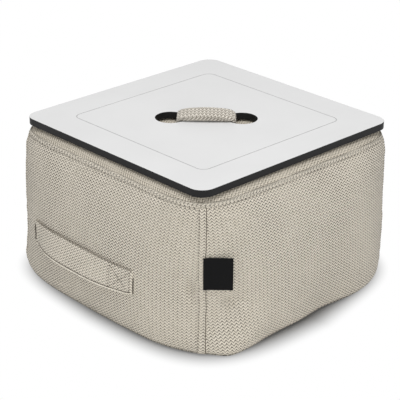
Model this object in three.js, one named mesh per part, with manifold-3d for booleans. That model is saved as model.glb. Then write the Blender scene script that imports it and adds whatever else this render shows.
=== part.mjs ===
// Square bean-bag pouf with a lift-off laminate tray, in millimetres with +Z up.
// The origin is on the floor under the pouf's centre. The carrying strap is on the -X face and the
// sewn-in label is on the corner between the -X and -Y faces.
import * as THREE from 'three';
import { mergeVertices } from 'three/addons/utils/BufferGeometryUtils.js';
import Module from 'manifold-3d';

const wasm = await Module();
wasm.setup();

// Fits
const GAP = 0.3;

// Pouf outline: a face distance runs from the centre to the middle of a face, a corner distance from
// the centre to a corner line, along X and along Y alike
const POUF_HEIGHT = 287;
const TOP_SEAM_DROP = 13;
const TOP_ROLL = 14;
const SEAM_FACE = 247;
const CORNER_DRAW_IN = 17.5;
const FACE_SWELL = 36;
const CORNER_SWELL = 4;
const WIDEST_HEIGHT = 78;
const BASE_FACE_TUCK = 42;
const BASE_CORNER_TUCK = 17;
const BASE_ROLL_POWER = 3.4;
const BASE_SEAM_HEIGHT = 6;

// Cover, liner and filling
const FABRIC = 2;
const LINER = 0.8;
const LINER_SEAM_HEIGHT = 150;
const LINER_BEND_HEIGHT = 14;
const LINER_BEND = 6;
const PATCH = 1;
const PATCH_SLACK = 2.2;
const FILL_SLACK = 1.6;

// Felled seams, which stand proud of the cloth
const SEAM_BAND_HEIGHT = 9;
const SEAM_BAND_THICKNESS = 1.6;
const SEAM_BAND_STANDOFF = 0.5;
const CORNER_STRIP_LEFT = 4.5;
const CORNER_STRIP_RIGHT = 7;
const CORNER_STRIP_THICKNESS = 1.4;

// Tray
const TRAY_INSET = 12;
const TRAY_THICKNESS = 13;
const TRAY_CORNER_RADIUS = 32;
const FACE_SHEET = 0.8;
const LINE_INSET = 64;
const LINE_CORNER_RADIUS = 20;
const LINE_WIDTH = 1.2;
const LINE_DEPTH = 0.4;

// Top handle: a padded strap along the tray's diagonal. It comes up through one finger hole, arches over
// the bridge between the holes, goes down through the other, and is closed by a tail in a pocket below
const ARCH_SPAN = 108;
const ARCH_RISE = 12.5;
const ARCH_POWER = 2;
const TOP_STRAP_WIDTH = 48;
const TOP_LEG_WIDTH = 40;
const TOP_STRAP_THICKNESS = 7.2;
const TOP_STRAP_POWER = 3.2;
const TOP_STRAP_GRIP = 60;
const SLEEVE_WALL = 1.4;
const HOLE_SIDE_ROOM = 4;
const HOLE_END_ROOM = 39;
const TAIL_POCKET = 3;

// Side handle
const SIDE_STRAP_CENTRE_Y = 24;
const SIDE_STRAP_HEIGHT = 100;
const SIDE_STRAP_WIDTH = 48;
const SIDE_STRAP_THICKNESS = 3.2;
const SIDE_STRAP_WALL = 0.8;
const SIDE_STRAP_BOW = 14;
const SIDE_GRIP_LENGTH = 172;
const SIDE_TAB_LENGTH = 53;
const SIDE_PATCH_MARGIN = 6;

// Label
const LABEL_WIDTH = 45.5;
const LABEL_HEIGHT = 59;
const LABEL_THICKNESS = 0.8;
const LABEL_BOTTOM = 124;
const LABEL_FOLD_ROOM = 0.8;

// Zip in the base
const ZIP_Y = 110;
const ZIP_LENGTH = 300;
const ZIP_WINDOW_WIDTH = 12;
const ZIP_TAPE_WIDTH = 14;
const ZIP_TAPE_THICKNESS = 0.7;
const ZIP_TAPE_OVERLAP = 12;
const ZIP_BRIDGE = 1;
const ZIP_COIL_WIDTH = 2.4;
const ZIP_COIL_HEIGHT = 1.6;
const SLIDER_LENGTH = 10;
const SLIDER_SIDE_ROOM = 2;
const SLIDER_LOWER_PLATE = 1.1;
const SLIDER_UPPER_PLATE = 0.8;
const ZIP_STOP_LENGTH = 3;
const ZIP_STOP_WIDTH = 6;

// Mesh density
const SIDE_STEPS = 12;
const SIDE_ROWS = 8;
const ROW_CROWDING = 1.6;
const ROLL_STEPS = 3;
const STRAP_SIDES = 16;
const ARCH_STEPS = 10;
const LEG_STEPS = 6;
const GRIP_STEPS = 12;
const PATCH_STEPS = 4;
const ROUND_STEPS = 8;

// Derived sizes
const TOP_SEAM_HEIGHT = POUF_HEIGHT - TOP_SEAM_DROP;
const SEAM_CORNER = SEAM_FACE - CORNER_DRAW_IN;
const PATCH_DEPTH = FABRIC + PATCH_SLACK;
const LINER_DEPTH = PATCH_DEPTH + PATCH + GAP;
const FILL_DEPTH = LINER_DEPTH + LINER + FILL_SLACK;
const TRAY_HALF = SEAM_FACE - TRAY_INSET;
const TRAY_BOTTOM = POUF_HEIGHT + GAP;
const SHOULDER_HEIGHT = TRAY_BOTTOM + TRAY_THICKNESS + GAP;
const LEG_PLACE = ARCH_SPAN / 2 - TOP_STRAP_THICKNESS;
const DIAGONAL = -Math.PI / 4;

// Finishes
const CLOTH = { color: 0xb4aea1, roughness: 0.95, metalness: 0 };
const BASE_CLOTH = { color: 0x9a9488, roughness: 0.95, metalness: 0 };
const LINER_CLOTH = { color: 0xe6e4de, roughness: 0.95, metalness: 0 };
const BEADS = { color: 0xf4f4f2, roughness: 0.9, metalness: 0 };
const FOAM = { color: 0xd8d6d0, roughness: 0.95, metalness: 0 };
const WEBBING = { color: 0x8d887c, roughness: 0.9, metalness: 0 };
const WHITE_LAMINATE = { color: 0xe4e4e4, roughness: 0.5, metalness: 0 };
const BLACK_CORE = { color: 0x2b2b2b, roughness: 0.6, metalness: 0 };
const LABEL_CLOTH = { color: 0x161616, roughness: 0.8, metalness: 0 };
const ZIP_TAPE = { color: 0x1d1d1d, roughness: 0.9, metalness: 0 };
const ZIP_COIL = { color: 0x1d1d1d, roughness: 0.5, metalness: 0 };
const ZINC = { color: 0x8f9194, roughness: 0.4, metalness: 0.8 };

const pouf = new THREE.Group();

function addPiece(name, geometry, finish, parent = pouf) {
  const mesh = new THREE.Mesh(geometry, new THREE.MeshStandardMaterial(finish));
  mesh.name = name;
  parent.add(mesh);
}

// A closed body from points and triangles, turned so that its faces point out.
function closedBody(points, triangles) {
  let volume = 0;
  const cross = new THREE.Vector3();
  for (const [a, b, c] of triangles) {
    volume += points[a].dot(cross.crossVectors(points[b], points[c]));
  }
  const index = triangles.flatMap(([a, b, c]) => (volume > 0 ? [a, b, c] : [a, c, b]));
  const geometry = new THREE.BufferGeometry().setFromPoints(points);
  geometry.setIndex(index);
  geometry.computeVertexNormals();
  return geometry;
}

// Two triangles for each cell between two rows of vertex numbers.
function quads(rowA, rowB, closed) {
  const count = closed ? rowA.length : rowA.length - 1;
  const out = [];
  for (let i = 0; i < count; i++) {
    const j = (i + 1) % rowA.length;
    out.push([rowA[i], rowA[j], rowB[j]], [rowA[i], rowB[j], rowB[i]]);
  }
  return out;
}

// An inner skin is split like its outer skin and faces the other way.
function flipped(triangles) {
  return triangles.map(([a, b, c]) => [a, c, b]);
}

// Numbers each row of points in one list, and gives the rows back as vertex numbers.
function numberRows(points, rows) {
  return rows.map((row) => row.map((point) => points.push(point) - 1));
}

// A thick patch between an outer and an inner grid of points.
function patchBody(outer, inner) {
  const points = [];
  const a = numberRows(points, outer);
  const b = numberRows(points, inner);
  const last = a.length - 1;
  const triangles = [];
  for (let i = 0; i < last; i++) {
    triangles.push(...quads(a[i], a[i + 1], false), ...flipped(quads(b[i], b[i + 1], false)));
  }
  triangles.push(...quads(b[0], a[0], false), ...quads(a[last], b[last], false));
  const end = outer[0].length - 1;
  const column = (rows, j) => rows.map((row) => row[j]);
  triangles.push(...quads(column(a, 0), column(b, 0), false));
  triangles.push(...quads(column(b, end), column(a, end), false));
  return closedBody(points, triangles);
}

// A tube with open ends, between outer and inner closed loops of points.
function tubeBody(outer, inner) {
  const points = [];
  const a = numberRows(points, outer);
  const b = numberRows(points, inner);
  const last = a.length - 1;
  const triangles = [];
  for (let i = 0; i < last; i++) {
    triangles.push(...quads(a[i], a[i + 1], true), ...flipped(quads(b[i], b[i + 1], true)));
  }
  triangles.push(...quads(b[0], a[0], true), ...quads(a[last], b[last], true));
  return closedBody(points, triangles);
}

function fan(points, row, apex, turned) {
  const tip = points.push(apex) - 1;
  return row.map((v, i) => {
    const next = row[(i + 1) % row.length];
    return turned ? [next, v, tip] : [v, next, tip];
  });
}

function loopCentre(loop) {
  const sum = loop.reduce((total, point) => total.add(point), new THREE.Vector3());
  return sum.divideScalar(loop.length);
}

// A solid through closed loops of points, with both ends capped.
function cappedBody(loops) {
  const points = [];
  const rows = numberRows(points, loops);
  const last = rows.length - 1;
  const triangles = [];
  for (let i = 0; i < last; i++) {
    triangles.push(...quads(rows[i], rows[i + 1], true));
  }
  triangles.push(...fan(points, rows[0], loopCentre(loops[0]), true));
  triangles.push(...fan(points, rows[last], loopCentre(loops[last]), false));
  return closedBody(points, triangles);
}

// A bowl: its open rim is at the first loops, and the last loops close over the pouf's axis.
function bowlBody(outer, inner) {
  const points = [];
  const a = numberRows(points, outer);
  const b = numberRows(points, inner);
  const last = a.length - 1;
  const triangles = quads(b[0], a[0], true);
  for (let i = 0; i < last; i++) {
    triangles.push(...quads(a[i], a[i + 1], true), ...flipped(quads(b[i], b[i + 1], true)));
  }
  triangles.push(...fan(points, a[last], loopCentre(outer[last]), false));
  triangles.push(...fan(points, b[last], loopCentre(inner[last]), true));
  return closedBody(points, triangles);
}

function toManifold(geometry) {
  const bare = geometry.clone();
  bare.deleteAttribute('normal');
  bare.deleteAttribute('uv');
  const merged = mergeVertices(bare);
  return new wasm.Manifold(new wasm.Mesh({
    numProp: 3,
    vertProperties: new Float32Array(merged.attributes.position.array),
    triVerts: new Uint32Array(merged.index.array),
  }));
}

function cut(geometry, ...tools) {
  const left = tools.reduce((body, tool) => body.subtract(toManifold(tool)), toManifold(geometry));
  return fromManifold(left);
}

function join(geometry, ...others) {
  return fromManifold(others.reduce((body, other) => body.add(toManifold(other)), toManifold(geometry)));
}

function fromManifold(body) {
  const mesh = body.getMesh();
  const geometry = new THREE.BufferGeometry();
  geometry.setAttribute('position', new THREE.BufferAttribute(mesh.vertProperties, mesh.numProp));
  geometry.setIndex(new THREE.BufferAttribute(mesh.triVerts, 1));
  geometry.computeVertexNormals();
  return geometry;
}

function box(low, high) {
  const size = new THREE.Vector3().subVectors(high, low);
  const middle = new THREE.Vector3().addVectors(low, high).multiplyScalar(0.5);
  return new THREE.BoxGeometry(size.x, size.y, size.z).translate(middle.x, middle.y, middle.z);
}

function range(count, start, end) {
  return Array.from({ length: count + 1 }, (_, i) => start + ((end - start) * i) / count);
}

// The pouf's skin. A ring is one level section: its face and corner distances and its height.
// Its outline is the superellipse through them, x = face / (1 + |s|^n)^(1/n) and y = s x, where s runs
// from -1 to 1 between the corners of one side and n = ln 2 / ln(face / corner).

// Below the widest height the skin rolls in to the base, and above it the swell fades as a parabola.
function bellyAt(z) {
  const low = Math.max(0, 1 - z / WIDEST_HEIGHT);
  const high = Math.max(0, (z - WIDEST_HEIGHT) / (TOP_SEAM_HEIGHT - WIDEST_HEIGHT));
  const tuck = 1 - (1 - low ** BASE_ROLL_POWER) ** (1 / BASE_ROLL_POWER);
  const swell = 1 - high ** 2;
  return {
    face: SEAM_FACE + FACE_SWELL * swell - BASE_FACE_TUCK * tuck,
    corner: SEAM_CORNER + CORNER_SWELL * swell - BASE_CORNER_TUCK * tuck,
  };
}

function drawnIn(ring, face, z) {
  return { face: ring.face - face, corner: ring.corner - face * Math.SQRT1_2, z };
}

function sideRing(z, depth) {
  return drawnIn(bellyAt(z), depth, z);
}

// The roll from the top seam (turn 0) to the flat top (turn a quarter).
function topRing(turn, depth) {
  const seam = { face: SEAM_FACE, corner: SEAM_CORNER };
  const inward = TOP_ROLL - (TOP_ROLL - depth) * Math.cos(turn);
  return drawnIn(seam, inward, TOP_SEAM_HEIGHT + (TOP_SEAM_DROP - depth) * Math.sin(turn));
}

// The roll from the base seam (turn 0) to the flat base (turn a quarter).
function baseRing(turn, depth) {
  const z = BASE_SEAM_HEIGHT * (1 - Math.sin(turn));
  return drawnIn(bellyAt(z), depth * Math.cos(turn), z + depth * Math.sin(turn));
}

function power(ring) {
  return Math.LN2 / Math.log(ring.face / ring.corner);
}

// A point of a ring on one side: side 0 faces +X, and the others follow at quarter turns.
function ringPoint(ring, side, s) {
  const n = power(ring);
  const x = ring.face / (1 + Math.abs(s) ** n) ** (1 / n);
  const point = new THREE.Vector3(x, s * x, ring.z);
  return point.applyAxisAngle(new THREE.Vector3(0, 0, 1), (side * Math.PI) / 2);
}

// Places across one side, closer together towards its corners.
const SIDE_PLACES = range(SIDE_STEPS, -1, 1).map((w) => Math.sin((w * Math.PI) / 2));

function ringLoop(ring) {
  const across = SIDE_PLACES.slice(0, -1);
  return [0, 1, 2, 3].flatMap((side) => across.map((s) => ringPoint(ring, side, s)));
}

// Heights of the side rows, closer together in the tight roll at the bottom.
function sideHeights(low, high) {
  return range(SIDE_ROWS, 0, 1).map((w) => low + (high - low) * w ** ROW_CROWDING);
}

const ROLL_TURNS = range(ROLL_STEPS, 0, Math.PI / 2);
const BAND_BOTTOM = TOP_SEAM_HEIGHT - SEAM_BAND_HEIGHT / 2;
const HEIGHTS = [...sideHeights(BASE_SEAM_HEIGHT + GAP, BAND_BOTTOM), TOP_SEAM_HEIGHT - GAP];

// The height nearest the widest one in a stretch of the side, where the skin stands out most.
function fullestHeight(low, high) {
  return THREE.MathUtils.clamp(WIDEST_HEIGHT, low, high);
}

// Distance of the -X face's skin from the X = 0 plane at a place on that face.
function skinAt(y, z) {
  const ring = sideRing(z, 0);
  const n = power(ring);
  return ring.face * (1 - (Math.abs(y) / ring.face) ** n) ** (1 / n);
}

// Cover

function buildCover() {
  const names = ['cover_right_panel', 'cover_back_panel', 'cover_left_panel', 'cover_front_panel'];
  names.forEach((name, side) => addPiece(name, sidePanel(side), CLOTH));

  const top = (depth) => ROLL_TURNS.map((turn) => ringLoop(topRing(turn, depth)));
  addPiece('cover_top_panel', bowlBody(top(0), top(FABRIC)), CLOTH);

  const base = (depth) => ROLL_TURNS.map((turn) => ringLoop(baseRing(turn, depth)));
  const window = box(
    new THREE.Vector3(-ZIP_LENGTH / 2, ZIP_Y - ZIP_WINDOW_WIDTH / 2, -FABRIC),
    new THREE.Vector3(ZIP_LENGTH / 2, ZIP_Y + ZIP_WINDOW_WIDTH / 2, 2 * FABRIC),
  );
  addPiece('base_panel', cut(bowlBody(base(0), base(FABRIC)), window), BASE_CLOTH);

  addPiece('top_seam_band', seamBand(), CLOTH);
  const corners = ['back_right', 'back_left', 'front_left', 'front_right'];
  corners.forEach((corner, side) => addPiece(`corner_seam_${corner}`, cornerStrip(side), CLOTH));
}

function sidePanel(side) {
  const edge = 1 - GAP / SEAM_CORNER;
  const across = SIDE_PLACES.map((s) => THREE.MathUtils.clamp(s, -edge, edge));
  const grid = (depth) => HEIGHTS.map((z) => across.map((s) => ringPoint(sideRing(z, depth), side, s)));
  return patchBody(grid(0), grid(FABRIC));
}

// The double row of felled seam that runs round the top, over the joint of the top and side panels.
function seamBand() {
  const half = SEAM_BAND_HEIGHT / 2;
  const loops = (depth) => [
    ringLoop(sideRing(BAND_BOTTOM, depth)),
    ringLoop(sideRing(TOP_SEAM_HEIGHT, depth)),
    ringLoop(topRing(Math.asin(half / TOP_SEAM_DROP), depth)),
  ];
  return tubeBody(loops(-SEAM_BAND_STANDOFF - SEAM_BAND_THICKNESS), loops(-SEAM_BAND_STANDOFF));
}

// A place beside a corner line: distances right of it lie on the next side, and left of it on this one.
function cornerPoint(side, right, z, depth) {
  const ring = sideRing(z, depth);
  const step = (Math.abs(right) * Math.SQRT2) / ring.corner;
  return right < 0 ? ringPoint(ring, side, 1 - step) : ringPoint(ring, side + 1, -1 + step);
}

function cornerStrip(side) {
  const heights = sideHeights(BASE_SEAM_HEIGHT + GAP, BAND_BOTTOM - GAP);
  const across = [-CORNER_STRIP_LEFT, 0, CORNER_STRIP_RIGHT];
  const grid = (depth) => heights.map((z) => across.map((right) => cornerPoint(side, right, z, depth)));
  return patchBody(grid(-GAP - CORNER_STRIP_THICKNESS), grid(-GAP));
}

// Inner liner and filling: they share every second row of the cover, so each nests inside the next.

const ZIP_TAPE_Z = FABRIC + GAP;
const ZIP_COIL_Z = ZIP_TAPE_Z + ZIP_TAPE_THICKNESS + GAP;
const SLIDER_TOP = ZIP_COIL_Z + ZIP_COIL_HEIGHT + GAP + SLIDER_UPPER_PLATE;
const LINER_FLOOR = SLIDER_TOP + GAP;

function lowerRings(depth, floor, heights) {
  const bend = sideRing(LINER_BEND_HEIGHT, depth);
  const above = heights.filter((z) => z > LINER_BEND_HEIGHT);
  return [...above.map((z) => sideRing(z, depth)).reverse(), bend, drawnIn(bend, LINER_BEND, floor)];
}

function upperRings(depth, heights) {
  const below = heights.filter((z) => z < TOP_SEAM_HEIGHT);
  return [...below.map((z) => sideRing(z, depth)), ...ROLL_TURNS.map((turn) => topRing(turn, depth))];
}

function buildInside() {
  const rows = HEIGHTS.filter((_, i) => i % 2 === 0);
  const above = [LINER_SEAM_HEIGHT + GAP / 2, ...rows.filter((z) => z > LINER_SEAM_HEIGHT + GAP)];
  const below = [...rows.filter((z) => z < LINER_SEAM_HEIGHT - GAP), LINER_SEAM_HEIGHT - GAP / 2];
  const loops = (rings) => rings.map((ring) => ringLoop(ring));
  const inner = LINER_DEPTH + LINER;
  addPiece('liner_upper_half', bowlBody(loops(upperRings(LINER_DEPTH, above)),
    loops(upperRings(inner, above))), LINER_CLOTH);
  addPiece('liner_lower_half', bowlBody(loops(lowerRings(LINER_DEPTH, LINER_FLOOR, below)),
    loops(lowerRings(inner, LINER_FLOOR + LINER, below))), LINER_CLOTH);

  const fillFloor = LINER_FLOOR + LINER + FILL_SLACK;
  const low = lowerRings(FILL_DEPTH, fillFloor, below).reverse();
  const high = upperRings(FILL_DEPTH, above);
  addPiece('bead_fill', cappedBody(loops([...low, ...high])), BEADS);
}

// Tray

function roundedSquare(half, radius, Outline = THREE.Shape) {
  const outline = new Outline();
  const straight = half - radius;
  outline.moveTo(-straight, -half);
  outline.absarc(straight, -straight, radius, -Math.PI / 2, 0);
  outline.absarc(straight, straight, radius, 0, Math.PI / 2);
  outline.absarc(-straight, straight, radius, Math.PI / 2, Math.PI);
  outline.absarc(-straight, -straight, radius, Math.PI, 1.5 * Math.PI);
  return outline;
}

// A finger hole, in which one leg of the handle comes up at the end nearer to the bridge.
function fingerHole(turn) {
  const radius = TOP_STRAP_WIDTH / 2 + HOLE_SIDE_ROOM;
  const reach = ARCH_SPAN / 2 + HOLE_END_ROOM - radius;
  const outline = new THREE.Path();
  outline.absarc(reach * Math.cos(turn), reach * Math.sin(turn), radius, 0, 2 * Math.PI);
  return outline;
}

// A block under the bridge, along the handle: the pocket, or the tail in it.
function underBridge(length, width, low, high) {
  const reach = new THREE.Vector3(length / 2, width / 2, 0);
  return box(reach.clone().negate().setZ(low), reach.setZ(high)).rotateZ(DIAGONAL);
}

function slab(outline, bottom, thickness) {
  const options = { depth: thickness, bevelEnabled: false, curveSegments: ROUND_STEPS };
  return new THREE.ExtrudeGeometry(outline, options).translate(0, 0, bottom);
}

function buildTray() {
  const plate = roundedSquare(TRAY_HALF, TRAY_CORNER_RADIUS);
  plate.holes.push(fingerHole(DIAGONAL), fingerHole(DIAGONAL + Math.PI));
  const pocketTop = TRAY_BOTTOM + TAIL_POCKET;
  const pocket = underBridge(2 * LEG_PLACE, TOP_LEG_WIDTH + 2 * GAP, POUF_HEIGHT, pocketTop);
  const coreBottom = TRAY_BOTTOM + FACE_SHEET;
  const coreTop = TRAY_BOTTOM + TRAY_THICKNESS - FACE_SHEET;
  addPiece('tray_core', cut(slab(plate, coreBottom, coreTop - coreBottom), pocket), BLACK_CORE);
  addPiece('tray_under_sheet', cut(slab(plate, TRAY_BOTTOM, FACE_SHEET), pocket), WHITE_LAMINATE);

  const lineHalf = TRAY_HALF - LINE_INSET;
  const line = roundedSquare(lineHalf + LINE_WIDTH / 2, LINE_CORNER_RADIUS + LINE_WIDTH / 2);
  line.holes.push(roundedSquare(lineHalf - LINE_WIDTH / 2, LINE_CORNER_RADIUS - LINE_WIDTH / 2, THREE.Path));
  const groove = slab(line, coreTop + FACE_SHEET - LINE_DEPTH, FACE_SHEET);
  addPiece('tray_top_sheet', cut(slab(plate, coreTop, FACE_SHEET), groove), WHITE_LAMINATE);
}

// Top handle. Its inner line stands upright in each hole, and from the board's top face it is the
// superellipse |a / place|^p + |h / rise|^p = 1, where the strap widens from the legs' width to its own.

function archPlace(turn) {
  const exponent = 2 / ARCH_POWER;
  const rise = ARCH_RISE - TOP_STRAP_THICKNESS;
  const cos = Math.cos(turn);
  const along = Math.sign(cos) * Math.abs(cos) ** exponent;
  const up = Math.max(0, Math.sin(turn)) ** exponent;
  const normal = new THREE.Vector2(
    (Math.sign(along) * Math.abs(along) ** (ARCH_POWER - 1)) / LEG_PLACE,
    up ** (ARCH_POWER - 1) / rise,
  );
  return {
    along: LEG_PLACE * along,
    height: SHOULDER_HEIGHT + rise * up,
    normal: normal.normalize(),
    width: THREE.MathUtils.lerp(TOP_LEG_WIDTH, TOP_STRAP_WIDTH, up),
  };
}

// The bottom of a leg, which hangs upright under the end of the arch.
function footPlace(turn) {
  return { ...archPlace(turn), height: TRAY_BOTTOM };
}

// A padded strap's section, fuller in the middle than at its edges, on the outer side of the inner line.
function strapLoop(place, inset) {
  const fullness = 2 / TOP_STRAP_POWER;
  return range(STRAP_SIDES, 0, 2 * Math.PI).slice(0, -1).map((angle) => {
    const bend = (value) => Math.sign(value) * Math.abs(value) ** fullness;
    const across = (place.width / 2 - inset) * bend(Math.cos(angle));
    const out = TOP_STRAP_THICKNESS / 2 + (TOP_STRAP_THICKNESS / 2 - inset) * bend(Math.sin(angle));
    const along = place.along + out * place.normal.x;
    const point = new THREE.Vector3(along, across, place.height + out * place.normal.y);
    return point.applyAxisAngle(new THREE.Vector3(0, 0, 1), DIAGONAL);
  });
}

function buildTopHandle() {
  const turnAt = (along) => Math.acos((along / LEG_PLACE) ** (ARCH_POWER / 2));
  const gripTurn = turnAt(TOP_STRAP_GRIP / 2);
  const grip = range(ARCH_STEPS, gripTurn, Math.PI - gripTurn).map(archPlace);
  const loops = (places, inset) => places.map((place) => strapLoop(place, inset));
  addPiece('top_handle_sleeve', tubeBody(loops(grip, 0), loops(grip, SLEEVE_WALL)), CLOTH);
  addPiece('top_handle_padding', cappedBody(loops(grip, SLEEVE_WALL + GAP)), FOAM);

  const turns = range(LEG_STEPS, 0, turnAt(TOP_STRAP_GRIP / 2 + 2 * GAP));
  for (const [name, end] of [['right', 0], ['left', Math.PI]]) {
    const arch = turns.map((turn) => archPlace(Math.abs(end - turn)));
    addPiece(`top_handle_${name}_leg`, cappedBody(loops([footPlace(end), ...arch], 0)), CLOTH);
  }

  const tailTop = TRAY_BOTTOM + TAIL_POCKET - GAP;
  const tailWidth = TOP_LEG_WIDTH - 2 * GAP;
  const tail = underBridge(2 * LEG_PLACE - 2 * GAP, tailWidth, TRAY_BOTTOM + GAP, tailTop);
  addPiece('top_handle_anchor', tail, WEBBING);
}

// Side handle, on the -X face: two sewn tabs and the grip that bows out between them.

const GRIP_LOW_Y = SIDE_STRAP_CENTRE_Y - SIDE_GRIP_LENGTH / 2;
const GRIP_HIGH_Y = SIDE_STRAP_CENTRE_Y + SIDE_GRIP_LENGTH / 2;
const STRAP_LOW_Z = SIDE_STRAP_HEIGHT - SIDE_STRAP_WIDTH / 2;
const STRAP_HIGH_Z = SIDE_STRAP_HEIGHT + SIDE_STRAP_WIDTH / 2;

// A patch that follows the -X face between two heights and two places along it.
function facePatch(yRange, zRange, inside, outside) {
  const ys = range(PATCH_STEPS, ...yRange);
  const zs = range(PATCH_STEPS, ...zRange);
  const grid = (proud) => zs.map((z) => ys.map((y) => new THREE.Vector3(-skinAt(y, z) - proud, y, z)));
  return patchBody(grid(outside), grid(inside));
}

// The grip's section: a flat band with its edges chamfered over half its thickness.
function gripLoop(y, inset) {
  const along = (y - SIDE_STRAP_CENTRE_Y) / (SIDE_GRIP_LENGTH / 2);
  const face = skinAt(y, fullestHeight(STRAP_LOW_Z, STRAP_HIGH_Z));
  const middle = face + GAP + SIDE_STRAP_THICKNESS / 2 + SIDE_STRAP_BOW * (1 - along ** 2);
  const thick = SIDE_STRAP_THICKNESS / 2 - inset;
  const wide = SIDE_STRAP_WIDTH / 2 - inset;
  const outline = [[1, 0.5], [0.5, 1], [-0.5, 1], [-1, 0.5], [-1, -0.5], [-0.5, -1], [0.5, -1], [1, -0.5]];
  return outline.map(([out, edge]) => {
    const up = Math.sign(edge) * (wide - (1 - Math.abs(edge)) * thick);
    return new THREE.Vector3(-middle - out * thick, y, SIDE_STRAP_HEIGHT + up);
  });
}

function buildSideHandle() {
  const ys = range(GRIP_STEPS, GRIP_LOW_Y + GAP, GRIP_HIGH_Y - GAP);
  const loops = (inset) => ys.map((y) => gripLoop(y, inset));
  addPiece('side_handle_sleeve', tubeBody(loops(0), loops(SIDE_STRAP_WALL)), CLOTH);
  addPiece('side_handle_webbing', cappedBody(loops(SIDE_STRAP_WALL + GAP)), WEBBING);

  const tabs = {
    front: [GRIP_LOW_Y - SIDE_TAB_LENGTH, GRIP_LOW_Y],
    rear: [GRIP_HIGH_Y, GRIP_HIGH_Y + SIDE_TAB_LENGTH],
  };
  const heights = [STRAP_LOW_Z, STRAP_HIGH_Z];
  const patchHeights = [STRAP_LOW_Z - SIDE_PATCH_MARGIN, STRAP_HIGH_Z + SIDE_PATCH_MARGIN];
  for (const [end, [low, high]] of Object.entries(tabs)) {
    const tab = facePatch([low, high], heights, GAP, GAP + SIDE_STRAP_THICKNESS);
    addPiece(`side_handle_${end}_tab`, tab, CLOTH);
    const patchEnds = [low - SIDE_PATCH_MARGIN, high + SIDE_PATCH_MARGIN];
    const patch = facePatch(patchEnds, patchHeights, -PATCH_DEPTH - PATCH, -PATCH_DEPTH);
    addPiece(`side_handle_${end}_patch`, patch, WEBBING);
  }
}

// Label: it comes out beside the front left corner's strip, with room to fold back over that strip.

function buildLabel() {
  const top = LABEL_BOTTOM + LABEL_HEIGHT;
  const corner = bellyAt(fullestHeight(LABEL_BOTTOM, top)).corner * Math.SQRT2;
  const label = new THREE.Group();
  label.rotation.z = DIAGONAL;
  const left = CORNER_STRIP_RIGHT + LABEL_FOLD_ROOM;
  const back = -corner - GAP;
  const low = new THREE.Vector3(left, back - LABEL_THICKNESS, LABEL_BOTTOM);
  const high = new THREE.Vector3(left + LABEL_WIDTH, back, top);
  addPiece('corner_label', box(low, high), LABEL_CLOTH, label);
  pouf.add(label);
}

// Zip: set into a window in the base behind the centre, with its coils on the inside.

function buildZip() {
  const half = ZIP_LENGTH / 2;
  const between = ZIP_BRIDGE / 2 + GAP;
  const tapeEnd = half + ZIP_TAPE_OVERLAP;
  const tapeTop = ZIP_TAPE_Z + ZIP_TAPE_THICKNESS;
  const coilTop = ZIP_COIL_Z + ZIP_COIL_HEIGHT;
  const strip = (side, end, width, low, high) => {
    const ys = [ZIP_Y + side * between, ZIP_Y + side * (between + width)].sort((a, b) => a - b);
    return box(new THREE.Vector3(-end, ys[0], low), new THREE.Vector3(end, ys[1], high));
  };
  for (const [name, side] of [['front', -1], ['rear', 1]]) {
    addPiece(`zip_${name}_tape`, strip(side, tapeEnd, ZIP_TAPE_WIDTH, ZIP_TAPE_Z, tapeTop), ZIP_TAPE);
    addPiece(`zip_${name}_coil`, strip(side, half, ZIP_COIL_WIDTH, ZIP_COIL_Z, coilTop), ZIP_COIL);
  }

  const block = (x, length, width, low, high) => box(
    new THREE.Vector3(x - length / 2, ZIP_Y - width / 2, low),
    new THREE.Vector3(x + length / 2, ZIP_Y + width / 2, high),
  );
  for (const [name, side] of [['closed', 1], ['open', -1]]) {
    const x = side * (half + GAP + ZIP_STOP_LENGTH / 2);
    const stop = block(x, ZIP_STOP_LENGTH, ZIP_STOP_WIDTH, ZIP_COIL_Z, coilTop);
    addPiece(`zip_${name}_stop`, stop, ZINC);
  }

  const x = half - GAP - SLIDER_LENGTH / 2;
  const width = ZIP_WINDOW_WIDTH - 2 * SLIDER_SIDE_ROOM;
  const lowerTop = ZIP_TAPE_Z - GAP;
  const lower = block(x, SLIDER_LENGTH, width, lowerTop - SLIDER_LOWER_PLATE, lowerTop);
  const upper = block(x, SLIDER_LENGTH, width, SLIDER_TOP - SLIDER_UPPER_PLATE, SLIDER_TOP);
  const bridge = block(x, SLIDER_LENGTH / 2, ZIP_BRIDGE, lowerTop - GAP, SLIDER_TOP - GAP);
  addPiece('zip_slider', join(lower, upper, bridge), ZINC);
}

buildCover();
buildInside();
buildTray();
buildTopHandle();
buildSideHandle();
buildLabel();
buildZip();

export default pouf;
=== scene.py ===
"""Dress a square bean-filled pouf and its lift-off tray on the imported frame.

Metres, +Z up. The pouf stands on z = 0 and the photographed corner is the one between -X and -Y. Every cloth
piece carries a UV map in metres, so that the weave keeps one scale on all of them.
"""

import functools
import logging
import math
from collections.abc import Callable
from dataclasses import dataclass, field
from enum import Enum

import bpy
import numpy as np
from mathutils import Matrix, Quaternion, Vector
from mathutils.geometry import delaunay_2d_cdt


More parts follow.
